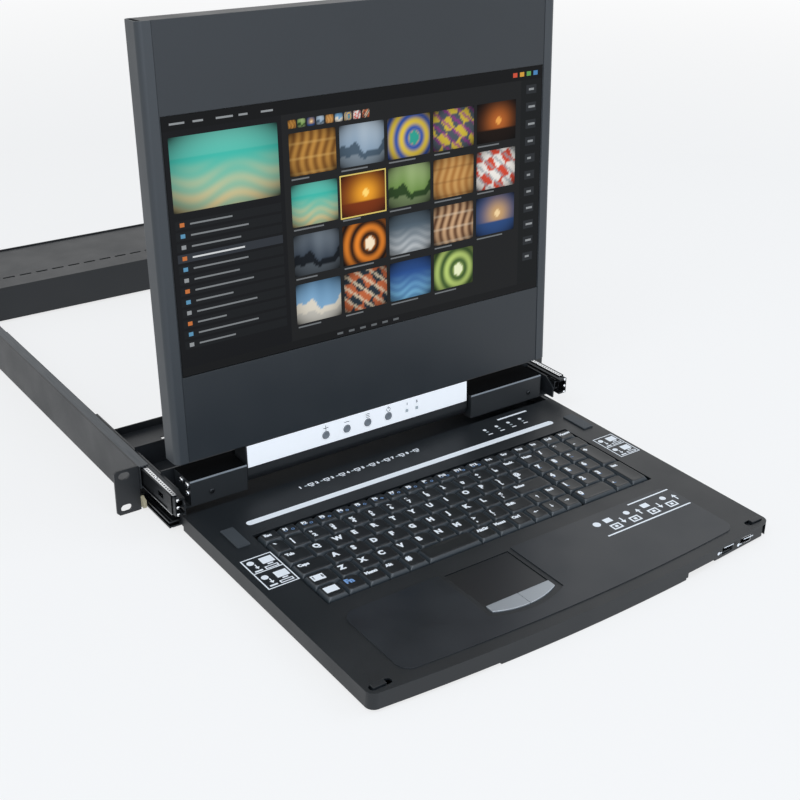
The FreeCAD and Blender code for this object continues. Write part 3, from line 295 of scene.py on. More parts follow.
def also(piece, finish, test):
    """A second finish on the faces of a piece that pass a test.

    The test takes the faces' centres in millimetres and their normals, as arrays."""
    mesh = piece.data
    centres = np.empty(len(mesh.polygons) * 3)
    mesh.polygons.foreach_get("center", centres)
    normals = np.empty(len(mesh.polygons) * 3)
    mesh.polygons.foreach_get("normal", normals)
    chosen = test(centres.reshape(-1, 3) / MM, normals.reshape(-1, 3))
    mesh.materials.append(bpy.data.materials[finish])
    mesh.polygons.foreach_set("material_index", chosen.astype(np.int32))


def turned(profile, centre, axis, steps=24, sides=0):
    """A turned shape: a profile of (radius, height) pairs carried round an axis.

    Point = centre + height * axis + radius * (cos a, sin a) across it.  With sides,
    the last ring has flats: its radius is multiplied by cos(pi / sides) / cos of the
    angle left over to the nearest flat, as in a hexagon socket."""
    profile = np.asarray(profile, float)
    axis = np.asarray(axis, float)
    aside = np.array((0.0, 0.0, 1.0)) if abs(axis[2]) < 0.5 else np.array((1.0, 0.0, 0.0))
    first = np.cross(aside, axis)
    second = np.cross(axis, first)
    angle = np.arange(steps) * 2 * math.pi / steps
    radius = np.repeat(profile[:, :1], steps, 1)
    if sides:
        flat = (angle + math.pi / sides) % (2 * math.pi / sides) - math.pi / sides
        radius[-2:] *= math.cos(math.pi / sides) / np.cos(flat)
    points = (np.asarray(centre, float) + profile[:, 1][:, None, None] * axis
              + radius[..., None] * (np.cos(angle)[:, None] * first
                                     + np.sin(angle)[:, None] * second))
    faces = grid_faces(len(profile), steps, True).tolist()
    faces.append(list(range(steps))[::-1])
    last = (len(profile) - 1) * steps
    faces.append(list(range(last, last + steps)))
    return points.reshape(-1, 3), faces


def screw_head(centre, axis, radius, height):
    """Pan head with a hexagon socket half as wide as the head."""
    hole = radius * 0.5
    return turned([(radius, 0), (radius, height * 0.5), (radius * 0.9, height * 0.85),
                   (radius * 0.72, height), (hole, height), (hole * 0.96, height * 0.35)],
                  centre, axis, 24, 6)


def sphere(centre, radius, steps=12):
    """Ball: point = centre + radius * (sin b cos a, sin b sin a, cos b), its poles closed."""
    pole = 0.12
    rise = np.linspace(pole, math.pi - pole, steps // 2 + 1)
    profile = np.stack([radius * np.sin(rise), -radius * np.cos(rise)], -1)
    return turned(profile, centre, (0.0, 1.0, 0.0), steps)


# ---- flat prints ------------------------------------------------------------

GLYPHS = {}                # flat meshes of the lettering made so far
CAP_HEIGHT = 0.69          # capitals of the built-in font, as a share of its size
LETTER_WEIGHT = 0.07       # how far the strokes are thickened
ARROW = np.array([(-1, -0.16), (0.1, -0.16), (0.1, -0.6), (1, 0), (0.1, 0.6),
                  (0.1, 0.16), (-1, 0.16)])    # outline of an arrow two units long


def bar(x0, y0, x1, y1):
    """A filled rectangle."""
    return np.array([(x0, y0), (x1, y0), (x1, y1), (x0, y1)], float), [(0, 1, 2, 3)]


def rounded_bar(x0, y0, x1, y1, steps=10):
    """A bar with half-round ends: one outline of two half circles, filled as one face."""
    radius = (y1 - y0) / 2
    turn = np.linspace(-math.pi / 2, math.pi / 2, steps)
    right = np.stack([x1 + radius * np.cos(turn), y0 + radius + radius * np.sin(turn)], -1)
    left = np.stack([x0 - radius * np.cos(turn), y1 - radius - radius * np.sin(turn)], -1)
    points = np.concatenate([right, left])
    return points, [list(range(len(points)))]


def outline_box(x0, y0, x1, y1, line):
    """A rectangle drawn with a line."""
    return joined([bar(x0, y0, x1, y0 + line), bar(x0, y1 - line, x1, y1),
                   bar(x0, y0 + line, x0 + line, y1 - line),
                   bar(x1 - line, y0 + line, x1, y1 - line)])


def disc(x, y, radius, steps=16):
    """Points at radius * (cos a, sin a) round x, y."""
    angle = np.arange(steps) * 2 * math.pi / steps
    return (np.stack([x + radius * np.cos(angle), y + radius * np.sin(angle)], -1),
            [tuple(range(steps))])


def ring(x, y, radius, line, steps=20):
    """The strip between two circles whose radii differ by line."""
    angle = np.arange(steps) * 2 * math.pi / steps
    circle = np.stack([np.cos(angle), np.sin(angle)], -1)
    points = np.concatenate([circle * radius, circle * (radius - line)]) + (x, y)
    quads = grid_faces(2, steps, True)
    return points, quads[:, ::-1].tolist()


def arrow(x, y, size, quarter):
    """An arrow turned by quarter turns from pointing right."""
    x_points, y_points = (ARROW * size / 2).T
    c, s = [(1, 0), (0, 1), (-1, 0), (0, -1)][quarter]
    spun = np.stack([x_points * c - y_points * s, x_points * s + y_points * c], -1)
    return spun + (x, y), [tuple(range(len(ARROW)))]


def words(text, x, y, height, middle=False):
    """Plain lettering whose capitals are height tall, starting or centred at x, y."""
    if text not in GLYPHS:
        curve = bpy.data.curves.new("lettering", "FONT")
        curve.body = text
        curve.resolution_u = 2
        curve.offset = LETTER_WEIGHT
        holder = bpy.data.objects.new("lettering", curve)
        bpy.context.scene.collection.objects.link(holder)
        bpy.context.view_layer.update()
        mesh = bpy.data.meshes.new_from_object(
            holder.evaluated_get(bpy.context.evaluated_depsgraph_get()))
        points = np.empty(len(mesh.vertices) * 3)
        mesh.vertices.foreach_get("co", points)
        GLYPHS[text] = (points.reshape(-1, 3)[:, :2] / CAP_HEIGHT,
                        [tuple(face.vertices) for face in mesh.polygons])
        bpy.data.objects.remove(holder)
        bpy.data.curves.remove(curve)
        bpy.data.meshes.remove(mesh)
    points, faces = GLYPHS[text]
    shift = points[:, 0].max() / 2 if middle else points[:, 0].min()
    return (points - (shift, 0)) * height + (x, y), faces


def on_level(height):
    """Places a flat print at a height."""
    return lambda flat: np.insert(flat, 2, height, axis=1)


def on_front(depth):
    """Places a flat x, z print on an upright face that looks forward."""
    return lambda flat: np.insert(flat, 1, depth, axis=1)


def on_display(depth):
    """Places a flat x, z print at a depth of the upright display, then leans it back."""
    return lambda flat: leaned(np.insert(flat, 1, depth, axis=1))


def print_piece(name, shapes, place, body, finish):
    """A print: flat shapes laid on a surface."""
    flat, faces = joined(shapes)
    return new_piece(name, place(flat), faces, body, finish)


# ---- materials --------------------------------------------------------------


def add_node(tree, kind, inputs=None, **settings):
    """Adds a node, sets its options, and links or sets its inputs."""
    node = tree.nodes.new(kind)
    for option, value in settings.items():
        setattr(node, option, value)
    for socket, value in (inputs or {}).items():
        if isinstance(value, bpy.types.NodeSocket):
            tree.links.new(value, node.inputs[socket])
        else:
            node.inputs[socket].default_value = value
    return node


def bare_tree(owner):
    """The node tree of a material or of the surroundings, emptied."""
    owner.use_nodes = True
    owner.node_tree.nodes.clear()
    return owner.node_tree


NOISE_LOW, NOISE_HIGH = 0.3, 0.7         # most of a noise's values lie between these
WEAR_PATCH = 45.0                        # width of the patches that differ in gloss
ROLLING_LINE = 0.8                       # spacing of the lines on rolled strip
LINE_STRETCH = 40                        # the lines are this many times longer than wide
ROLLING_SHINE = 0.1                      # how far the lines change the roughness


def new_finish(name, colour, roughness, metallic=0.0, grain=0.0, relief=0.0, wear=0.0, **more):
    """A material: one shader, with a grain of a real size and slow changes of gloss.

    Grain is the spacing of the texture and relief its depth, both in millimetres.
    Wear is how far the roughness drifts from patch to patch."""
    material = bpy.data.materials.new(name)
    tree = bare_tree(material)
    inputs = {"Base Color": (*colour, 1.0), "Roughness": roughness, "Metallic": metallic}
    inputs.update(more)
    place = add_node(tree, "ShaderNodeTexCoord").outputs["Object"]
    if wear:
        drift = add_node(tree, "ShaderNodeTexNoise", {
            "Vector": place, "Scale": 1 / (WEAR_PATCH * MM), "Detail": 3.0})
        inputs["Roughness"] = add_node(tree, "ShaderNodeMapRange", {
            "Value": drift.outputs["Fac"], "From Min": NOISE_LOW, "From Max": NOISE_HIGH,
            "To Min": roughness - wear, "To Max": roughness + wear}).outputs["Result"]
    if grain:
        speckle = add_node(tree, "ShaderNodeTexNoise", {
            "Vector": place, "Scale": 1 / (grain * MM), "Detail": 2.0})
        inputs["Normal"] = add_node(tree, "ShaderNodeBump", {
            "Height": speckle.outputs["Fac"], "Distance": relief * MM,
            "Strength": 1.0}).outputs["Normal"]
    shader = add_node(tree, "ShaderNodeBsdfPrincipled", inputs)
    add_node(tree, "ShaderNodeOutputMaterial", {"Surface": shader.outputs["BSDF"]})
    return material


def parts_of(material):
    """The node tree of a material, its shader's inputs and its Object coordinates."""
    tree = material.node_tree
    shader = next(n for n in tree.nodes if n.type == "BSDF_PRINCIPLED")
    place = next(n for n in tree.nodes if n.type == "TEX_COORD").outputs["Object"]
    return tree, shader.inputs, place


def brushed(name, colour, roughness):
    """Metal with fine lines along Y: noise stretched many times along the lines."""
    material = new_finish(name, colour, roughness, 1.0)
    tree, sockets, place = parts_of(material)
    along = add_node(tree, "ShaderNodeMapping", {
        "Vector": place, "Scale": (1, 1 / LINE_STRETCH, 1)})
    lines = add_node(tree, "ShaderNodeTexNoise", {
        "Vector": along.outputs["Vector"], "Scale": 1 / (ROLLING_LINE * MM), "Detail": 2.0})
    gloss = add_node(tree, "ShaderNodeMapRange", {
        "Value": lines.outputs["Fac"], "From Min": NOISE_LOW, "From Max": NOISE_HIGH,
        "To Min": roughness - ROLLING_SHINE, "To Max": roughness + ROLLING_SHINE})
    tree.links.new(gloss.outputs["Result"], sockets["Roughness"])
    return material


HOLE_PITCH = 3.4           # spacing of the holes in a ball retainer
HOLE_RADIUS = 0.9
BAND_WIDTH = 3.6           # the bright band that holds them
FOOT_HEIGHT = 1.7          # the lighter edge along the bottom of the retainer
FOOT_SHADE = 0.55          # and how far it is lightened towards bright metal


def perforated(name, metal, dark, band, low):
    """Metal strip with one bright band; the rest is painted dark as painted shade, and so is
    a row of holes along Y in the band.

    Band is how far the band's middle lies from the centre plane, and low the height of
    the strip's lower edge, which is lighter grey.  Distance to the nearest hole is the
    root of the squares of (abs(x) - band) and of (y mod pitch - pitch / 2)."""
    material = brushed(name, metal, 0.36)
    tree, sockets, place = parts_of(material)
    axes = add_node(tree, "ShaderNodeSeparateXYZ", {"Vector": place}).outputs
    # each row: a result, and the sum that gives it from earlier results or numbers
    found = {"x": axes["X"], "y": axes["Y"], "z": axes["Z"]}
    for result, operation, first, second in (
            ("side", "ABSOLUTE", "x", 0.0),
            ("aside", "SUBTRACT", "side", band * MM),
            ("step", "FLOORED_MODULO", "y", HOLE_PITCH * MM),
            ("along", "SUBTRACT", "step", HOLE_PITCH / 2 * MM),
            ("aside squared", "MULTIPLY", "aside", "aside"),
            ("along squared", "MULTIPLY", "along", "along"),
            ("away squared", "ADD", "aside squared", "along squared"),
            ("away", "SQRT", "away squared", 0.0),
            ("off the band", "ABSOLUTE", "aside", 0.0),
            ("on the band", "LESS_THAN", "off the band", BAND_WIDTH / 2 * MM),
            ("solid", "GREATER_THAN", "away", HOLE_RADIUS * MM),
            ("bright", "MULTIPLY", "on the band", "solid"),
            ("low down", "LESS_THAN", "z", (low + FOOT_HEIGHT) * MM),
            ("foot", "MULTIPLY", "low down", FOOT_SHADE),
            ("share", "MAXIMUM", "bright", "foot")):
        found[result] = add_node(tree, "ShaderNodeMath", {
            0: found.get(first, first), 1: found.get(second, second)},
            operation=operation).outputs[0]
    # the dark colour is painted shade on the web and in the holes
    tint = add_node(tree, "ShaderNodeMix", {
        0: found["share"], 6: (*dark, 1.0), 7: (*metal, 1.0)}, data_type="RGBA")
    tree.links.new(tint.outputs[2], sockets["Base Color"])
    return material


def lit_picture(name, glow):
    """The lit picture: its colours come from the pane's own colour attribute."""
    material = new_finish(name, linear("#050506"), 0.3, IOR=1.15)
    tree, sockets, _ = parts_of(material)
    tint = add_node(tree, "ShaderNodeVertexColor", layer_name="tint")
    tree.links.new(tint.outputs["Color"], sockets["Emission Color"])
    sockets["Emission Strength"].default_value = glow
    return material


# which finish each slot of the record takes
SLOT_FINISH = {
    "black_steel": "powder_coated_steel",
    "rail_paint": "satin_painted_rail",
    "zinc_steel": "zinc_plated_steel",
    "black_zinc": "black_passivated_zinc",
    "bright_steel": "polished_bearing_steel",
    "deck_plastic": "grained_abs_deck",
    "key_plastic": "matt_abs_keycap",
    "pad_plastic": "smooth_polycarbonate_pad",
    "silver_plastic": "silver_painted_abs",
    "menu_film": "printed_polyester_film",
    "button_plastic": "dark_abs_button",
    "light_plastic": "clear_acrylic_light_guide",
    "connector_plastic": "glossy_nylon_connector",
    "circuit_board": "green_solder_mask",
    "screen_glass": "coated_display_glass",
    "panel_module": "rolled_aluminium_sheet",
    "nylon": "natural_nylon",
    "pad_rubber": "silicone_rubber_pad",
}
# and the one node that differs from the rest of its slot: its zinc is painted darker as painted
# shade
NODE_FINISH = {"lcd_slide_outers": "outer_slide_painted_shade"}


class DRAWER_OT_finishes(bpy.types.Operator):
    """Makes every material and gives it to the CAD nodes"""
    bl_idname = "drawer.finishes"
    bl_label = "Finishes"

    def execute(self, context):
        tone = context.scene.drawer_finish
        # thick powder coat: an orange-peel skin that breaks up the highlights
        new_finish("powder_coated_steel", tone.steel, 0.46, grain=1.6, relief=0.05, wear=0.05)
        # sprayed satin paint on folded steel: smooth, with a soft sheen
        new_finish("satin_painted_rail", tone.rail, 0.42, grain=2.4, relief=0.02, wear=0.04)
        new_finish("satin_painted_panel", tone.panel, 0.4, grain=2.4, relief=0.02, wear=0.04)
        # zinc plate keeps the rolling lines of the strip below it
        brushed("zinc_plated_steel", linear("#b4b7bb"), 0.34)
        # stove enamel on the hinge covers; its rolled edge is painted paler as a painted highlight
        new_finish("satin_stove_enamel", linear("#1b1f22"), 0.5, grain=1.6, relief=0.04)
        new_finish("hem_painted_highlight", linear("#7d8388"), 0.35)
        # the top of the covers is painted almost black and dead matt: painted shade that stands in
        # for the dark hollow behind the cover's front
        new_finish("cover_top_painted_shade", linear("#060708"), 0.9, IOR=1.1)
        # black passivated zinc: dark, with the same rolling lines and a dull shine
        brushed("black_passivated_zinc", linear("#3a3d40"), 0.42)
        # ball retainers: one band along the top is bright and pierced; the web and the holes are
        # painted dark as painted shade
        low, high = extent("outer_ball_cages")
        perforated("pierced_zinc_retainer", linear("#e2e4e6"), linear("#26292c"),
                   high[0] - BAND_WIDTH, low[2])
        # outer slide members: zinc painted darker as painted shade
        brushed("outer_slide_painted_shade", linear("#55595d"), 0.45)
        # hardened, polished balls and nickel-plated heads: small hard highlights
        new_finish("polished_bearing_steel", linear("#d9dbdd"), 0.16, 1.0)
        # spark-eroded mould texture: fine grain, drawn coarse enough to be seen
        new_finish("grained_abs_deck", tone.deck, 0.44, grain=1.1, relief=0.04, wear=0.05)
        # the palm rest's finer grain is worn a little smoother and paler
        new_finish("worn_abs_palm_rest", tone.palm, 0.36, grain=1.1, relief=0.02, wear=0.07)
        # keycaps: matt with a faint grain
        new_finish("matt_abs_keycap", tone.key, 0.38, grain=0.9, relief=0.015)
        # the skirts are painted paler than the tops as a painted highlight, and are a little
        # glossier
        new_finish("keycap_skirt_painted_highlight", tone.skirt, 0.3)
        # touchpad: smooth and even
        new_finish("smooth_polycarbonate_pad", tone.pad, 0.34)
        # sprayed silver: metal flakes in lacquer, a broad soft highlight
        new_finish("silver_painted_abs", tone.silver, 0.36, 0.55)
        # printed film: pale, smooth, slightly glossy; a painted glow, an emission that the film
        # itself does not have, keeps it clean white in the shade of the display
        new_finish("printed_polyester_film", tone.strip, 0.3, **{
            "Emission Color": (*tone.strip, 1.0), "Emission Strength": 0.2})
        # push buttons: moulded, half gloss
        new_finish("dark_abs_button", linear("#7d8388"), 0.28)
        # light guides: pale clear acrylic that looks milky at this size
        new_finish("clear_acrylic_light_guide", linear("#b9c2c4"), 0.15, IOR=1.49)
        # connector mouldings: glass-filled nylon, black and glossy
        new_finish("glossy_nylon_connector", linear("#131416"), 0.25)
        # solder mask: green lacquer over the laminate's weave
        new_finish("green_solder_mask", linear("#1c5a38"), 0.35, grain=0.8, relief=0.01)
        # display glass: black behind, a thin coating that cuts the reflections
        new_finish("coated_display_glass", linear("#08090a"), 0.16, IOR=1.25)
        # plain mill finish of the panel's frame
        brushed("rolled_aluminium_sheet", linear("#a9acaf"), 0.4)
        # undyed nylon: cream and waxy
        new_finish("natural_nylon", linear("#cfc2a0"), 0.4)
        # rubber: dull, deep grey
        new_finish("silicone_rubber_pad", linear("#3a3f43"), 0.6, grain=1.2, relief=0.04)
        # screen-printed ink: flat and matt; the white has a painted glow, an emission that the ink
        # itself does not have
        new_finish("white_screen_ink", tone.ink, 0.5, **{
            "Emission Color": (*tone.ink, 1.0), "Emission Strength": 0.12})
        new_finish("blue_screen_ink", tone.blue_ink, 0.5)
        new_finish("grey_screen_ink", linear("#6b7074"), 0.5)
        new_finish("black_screen_ink", linear("#15181b"), 0.5)
        # the screen's light: the pane itself is nearly black
        lit_picture("lit_screen_picture", context.scene.drawer_screen.glow)

        slot_of = {part["node"]: part["material_slot"]
                   for part in frame["record"]["subparts"]}
        for name, node in frame["nodes"].items():
            node.data.materials.clear()
            finish = NODE_FINISH.get(name, SLOT_FINISH[slot_of[name]])
            node.data.materials.append(bpy.data.materials[finish])
        return {"FINISHED"}


# ---- operators: the display -------------------------------------------------

FACE = HINGE[1] - 10.7           # front of the display's rails, upright
SCREEN_LOW = HINGE[2] + 105.0    # lower edge of the viewable picture, upright
SCREEN_HEIGHT = 214.8
SCREEN_HALF = 190.5              # half the picture's width
PICTURE_DEPTH = 0.85             # the picture lies this far behind the rails' face
LEVEL_STEP = 0.05                # and each level of panes this far in front of the last


class DRAWER_OT_display(bpy.types.Operator):
    """Softens the display's rails, front panel, rear cover and hinge box"""
    bl_idname = "drawer.display"
    bl_label = "Display housing"

    def execute(self, context):
        softened("lcd_side_rails", "display", "satin_painted_rail", 0.35)
        softened("lcd_front_panel", "display", "satin_painted_panel", 0.3)
        softened("lcd_back_shell", "display", "powder_coated_steel", 0.4)
        softened("hinge_tongue", "display", "powder_coated_steel", 0.5)
        softened("menu_overlay", "display", "printed_polyester_film", 0.12)
        return {"FINISHED"}


# each small picture: a motif and three colours
PICTURES = [
    ("bands", "#b9863f", "#7a4f20", "#e0b56a"), ("hills", "#8aa0b5", "#4a5c6c", "#c7d3dc"),
    ("rings", "#1f4fa8", "#e0c23a", "#2f9c8c"), ("checks", "#c9b23c", "#4c5560", "#8f2f86"),
    ("glow", "#1c120c", "#b4622a", "#e8a04c"),
    ("waves", "#3fb7a8", "#d8c48e", "#8fd8c8"), ("glow", "#7a3512", "#f2a52c", "#ffd873"),
    ("hills", "#6f8f4c", "#2c4422", "#bcd09a"), ("bands", "#a8733a", "#c99a5c", "#6f4520"),
    ("checks", "#d04a34", "#ece8e2", "#9aa2a8"),
    ("hills", "#39434f", "#151a20", "#8b97a2"), ("rings", "#140f0e", "#e8862c", "#f4e2c4"),
    ("waves", "#51606c", "#c6ccd0", "#2a333a"), ("bands", "#c8a27c", "#5b3a26", "#f0dcc0"),
    ("glow", "#2c4a7c", "#c9a06c", "#f0d2a0"),
    ("hills", "#7da7c9", "#d8d2c4", "#345a7a"), ("checks", "#27313a", "#b8623c", "#d9c9ae"),
    ("waves", "#2a4f8c", "#78b4d8", "#16294a"), ("rings", "#3d5a2e", "#b8cf74", "#e6ecc4"),
    ("bands", "#5c6a74", "#9aa8b0", "#2f3a42"),
]


def motif(kind, u, v):
    """Shares of a picture's three colours over u, v from 0 to 1, as sums of plain waves.

    Bands: sines of u bent by v.  Hills: two sine ridges below a sky.  Rings: a sine of
    the distance from a point.  Checks: the sign of two crossed sines.  Waves: sines
    of v bent by u.  Glow: a bell round a low sun above a dark ground."""
    if kind == "bands":
        first = 0.5 + 0.5 * np.sin(34 * u + 2.2 * np.sin(5 * v))
        second = 0.35 * (np.abs(np.sin(9 * v + 1.0)) > 0.97)
    elif kind == "hills":
        ridge = 0.42 + 0.13 * np.sin(7 * u) + 0.06 * np.sin(19 * u + 1)
        first = 1.0 * (v < ridge)
        second = np.where(v < ridge, 0.25 * (v < ridge * 0.5), 0.85 * (v - ridge))
    elif kind == "rings":
        away = np.hypot(u - 0.62, (v - 0.45) * 0.75)
        first = 0.5 + 0.5 * np.sin(26 * away)
        second = 1.0 * (away < 0.12)
    elif kind == "checks":
        first = 1.0 * (np.sin(13 * u + 5 * v) * np.sin(9 * v - 3 * u) > 0)
        second = 0.8 * (np.sin(21 * (u + v)) > 0.7)
    elif kind == "waves":
        first = np.clip(1.15 - 1.7 * v, 0, 1) * (0.75 + 0.25 * np.sin(30 * v + 3 * np.sin(8 * u)))
        second = 0.7 * (v > 0.72) * (v - 0.5)
    else:
        away = np.hypot((u - 0.56) * 1.2, v - 0.52)
        first = np.exp(-7 * away ** 2) * (v > 0.33)
        second = 1.0 * (away < 0.09)
    first, second = np.broadcast_arrays(first * 1.0, second * 1.0)
    return first, second


class Picture:
    """Panes of one lit picture, gathered as points, quads and colours."""

    def __init__(self):
        self.points, self.quads, self.tints, self.count = [], [], [], 0

    def pane(self, x0, z0, x1, z1, level, tints, columns=1, rows=1):
        """A pane of the picture: a flat grid at a level, one colour for each point."""
        u, v = np.meshgrid(np.linspace(0, 1, columns + 1), np.linspace(0, 1, rows + 1))
        depth = np.full(u.size, FACE + PICTURE_DEPTH - level * LEVEL_STEP)
        spots = np.stack([x0 + (x1 - x0) * u.ravel(), depth, z0 + (z1 - z0) * v.ravel()], -1)
        self.points.append(leaned(spots))
        self.quads.append(grid_faces(rows + 1, columns + 1, False) + self.count)
        self.tints.append(np.broadcast_to(tints, (u.size, 3)))
        self.count += u.size

    def plain(self, x0, z0, x1, z1, level, code):
        """A pane of one colour."""
        self.pane(x0, z0, x1, z1, level, linear(code))

    def scene(self, x0, z0, x1, z1, level, kind, codes, columns=28, rows=20):
        """A small picture: its motif mixes three colours, a little darker at the edge."""
        u, v = np.meshgrid(np.linspace(0, 1, columns + 1), np.linspace(0, 1, rows + 1))
        first, second = motif(kind, u.ravel(), v.ravel())
        base, other, light = (np.array(linear(code)) for code in codes)
        mix = base * (1 - first[:, None]) + other * first[:, None]
        mix = mix * (1 - second[:, None]) + light * second[:, None]
        edge = 1 - 0.35 * (2 * np.hypot(u.ravel() - 0.5, v.ravel() - 0.5)) ** 3
        self.pane(x0, z0, x1, z1, level, mix * edge[:, None], columns, rows)

    def build(self, name):
        """The whole picture as one piece, with its colours as a point attribute."""
        piece = new_piece(name, np.concatenate(self.points),
                          np.concatenate(self.quads).tolist(), "display",
                          "lit_screen_picture")
        tint = piece.data.color_attributes.new("tint", "FLOAT_COLOR", "POINT")
        colours = np.insert(np.concatenate(self.tints), 3, 1.0, axis=1)
        tint.data.foreach_set("color", colours.ravel())


class DRAWER_OT_screen_picture(bpy.types.Operator):
    """Draws a plain picture browser on the screen: a preview, a list and a wall of tiles"""
    bl_idname = "drawer.screen_picture"
    bl_label = "Screen picture"

    def execute(self, context):
        settings = context.scene.drawer_screen
        edge = 0.6                   # unlit border of the panel
        left, right = -SCREEN_HALF + edge, SCREEN_HALF - edge
        low, high = SCREEN_LOW + edge, SCREEN_LOW + SCREEN_HEIGHT - edge
        menu_foot, status_top = high - 11, low + 7
        show = Picture()
        show.plain(left, low, right, high, 0, "#1f2021")
        show.plain(left, menu_foot, right, high, 1, "#141516")
        show.plain(left, low, right, status_top, 1, "#191a1b")
        # menu bar: words as plain dashes, and coloured switches at its right end
        for n, length in enumerate((13, 9, 15, 8, 11)):
            x = left + 6 + n * 20
            show.plain(x, high - 6.6, x + length, high - 5.0, 2, "#8d9194")
        for n, code in enumerate(("#c8503a", "#cf9a3c", "#5f9c54", "#4a82b4")):
            x = right - 34 + n * 8
            show.plain(x, high - 7.6, x + 5, high - 3.6, 2, code)

        # left column: the large preview, and the list below it
        column = 104.0               # width of the left column
        show.plain(left, status_top, left + column, menu_foot, 1, "#17181a")
        show.scene(left + 4, high - 76, left + column - 4, high - 16, 2, "waves",
                   ("#43b9aa", "#d6c694", "#9adccc"), 60, 44)
        for n in range(12):
            z = high - 86 - n * 9.2
            chosen = n == 3
            show.plain(left + 4, z - 3.4, left + column - 4, z + 3.6, 2,
                       "#30343a" if chosen else "#1c1e20")
            show.plain(left + 8, z - 1.6, left + 12, z + 1.8, 3,
                       ("#c0703c", "#5a8fb0", "#8d9194")[n % 3])
            length = 26 + 30 * abs(math.sin(1.7 * n + 0.4))
            show.plain(left + 17, z - 0.6, left + 17 + length, z + 0.8, 3,
                       "#d0d3d5" if chosen else "#7c8083")

        # the wall of small pictures
        wall_left, wall_right = left + column + 6, right - 30
        wall_high, wall_low = high - 27, low + 17
        columns, rows, gap = settings.columns, settings.rows, settings.gap / MM
        wide = (wall_right - wall_left - gap * (columns - 1)) / columns
        tall = (wall_high - wall_low - gap * (rows - 1)) / rows
        for n in range(9):
            x = wall_left + n * 9
            kind, *codes = PICTURES[(n * 7) % len(PICTURES)]
            show.scene(x, wall_high + 4, x + 7.6, wall_high + 11, 2, kind, codes, 8, 6)
        for n in range(columns * rows - 1):
            kind, *codes = PICTURES[n % len(PICTURES)]
            x = wall_left + (n % columns) * (wide + gap)
            z = wall_high - (n // columns + 1) * tall - (n // columns) * gap
            if n == 6:
                show.plain(x - 1.1, z + 2.6, x + wide + 1.1, z + tall + 1.1, 2, "#d9c36a")
            show.scene(x, z + 3.8, x + wide, z + tall, 3, kind, codes)
            show.plain(x + 1, z + 0.6, x + wide * (0.4 + 0.3 * math.sin(n) ** 2), z + 1.9, 3,
                       "#6f7376")

        # right edge: a narrow rail of switches
        show.plain(right - 24, status_top, right, menu_foot, 1, "#191b1c")
        for n in range(11):
            z = high - 24 - n * 16
            show.plain(right - 18, z, right - 6, z + 8, 2, "#2b2e31")
            show.plain(right - 15, z + 3, right - 9 + 2 * math.sin(n), z + 5, 3, "#8d9194")
        for n in range(6):
            x = left + 150 + n * 12
            show.plain(x, low + 2.4, x + 6, low + 4.4, 2, "#5f6366")
        show.build("screen_picture")
        return {"FINISHED"}


MENU_BUTTONS = (-56.6, -34.0, -11.2, 11.9)   # where the four buttons stand
MENU_LIGHTS = (33.0, 44.5)                   # and the two lights beside them
MENU_Z = HINGE[2] + 15.2                     # their height on the upright display
BUTTON_FACE = FACE - 1.3                     # front of the buttons
STRIP_FACE = FACE - 0.5                      # front of the pale film
BUTTON_CROWN = [(3.7, -4.0), (3.7, -0.5), (3.45, -0.12), (3.0, 0.0), (2.6, -0.15),
                (1.2, -0.32), (0.3, -0.35)]  # radius and height: a rim round a hollow
MARK_LINE = 0.7                              # line of the marks above the buttons
MARK_HALF = 2.8                              # half the width of a mark


class DRAWER_OT_menu_strip(bpy.types.Operator):
    """Turns the round menu buttons and prints the marks above them"""
    bl_idname = "drawer.menu_strip"
    bl_label = "Menu strip"

    def execute(self, context):
        for number, x in enumerate(MENU_BUTTONS, 1):
            node = "menu_button_%d" % number
            points, faces = turned(BUTTON_CROWN, (x, BUTTON_FACE, MENU_Z), (0, -1, 0), 32)
            new_piece(node + "_cap", leaned(points), faces, node,
                      "dark_abs_button", (node,))
        # a plus, a minus, three lines for the menu, a ring with a bar, and two numbers
        plus, minus, menu, power = MENU_BUTTONS
        low = MENU_Z + 6.6
        high = low + MARK_LINE
        marks = [bar(plus - MARK_HALF, low, plus + MARK_HALF, high),
                 bar(plus - MARK_LINE / 2, low - 2.4, plus + MARK_LINE / 2, low + 3.1),
                 bar(minus - MARK_HALF, low, minus + MARK_HALF, high)]
        marks += [bar(menu - 2.4, low + step, menu + 2.4, low + step + 0.6)
                  for step in (-1.6, 0.1, 1.8)]
        marks += [ring(power, low + 0.4, 2.3, 0.6),
                  bar(power - 0.3, low + 0.6, power + 0.3, low + 3.4)]
        marks += [words(str(n), x, low - 1.0, 2.4, True)
                  for n, x in enumerate(MENU_LIGHTS, 1)]
        print_piece("menu_marks", marks, on_display(STRIP_FACE - ABOVE), "display",
                    "grey_screen_ink")
        return {"FINISHED"}


HEM = 0.9                  # radius of the rolled edge along the top of a hinge cover
HEM_PROUD = 0.15           # how far it stands out of the cover's corner
FACES_UP = 0.7             # a face whose normal's z is above this looks up
# each hinge cover: its side, the sign of outward, and the x and z of its screw
COVERS = (("left", -1, -175.0, 7.1), ("right", 1, 180.0, 6.1))
COVER_SCREW = (2.4, 1.1)   # radius and height of the head on the cover's front
END_SCREW = (2.6, 1.6)     # and of those on its outer end
END_SCREW_PLACES = ((5.0, 4.5), (5.0, 12.5), (16.0, 4.5))  # behind the front, below the top


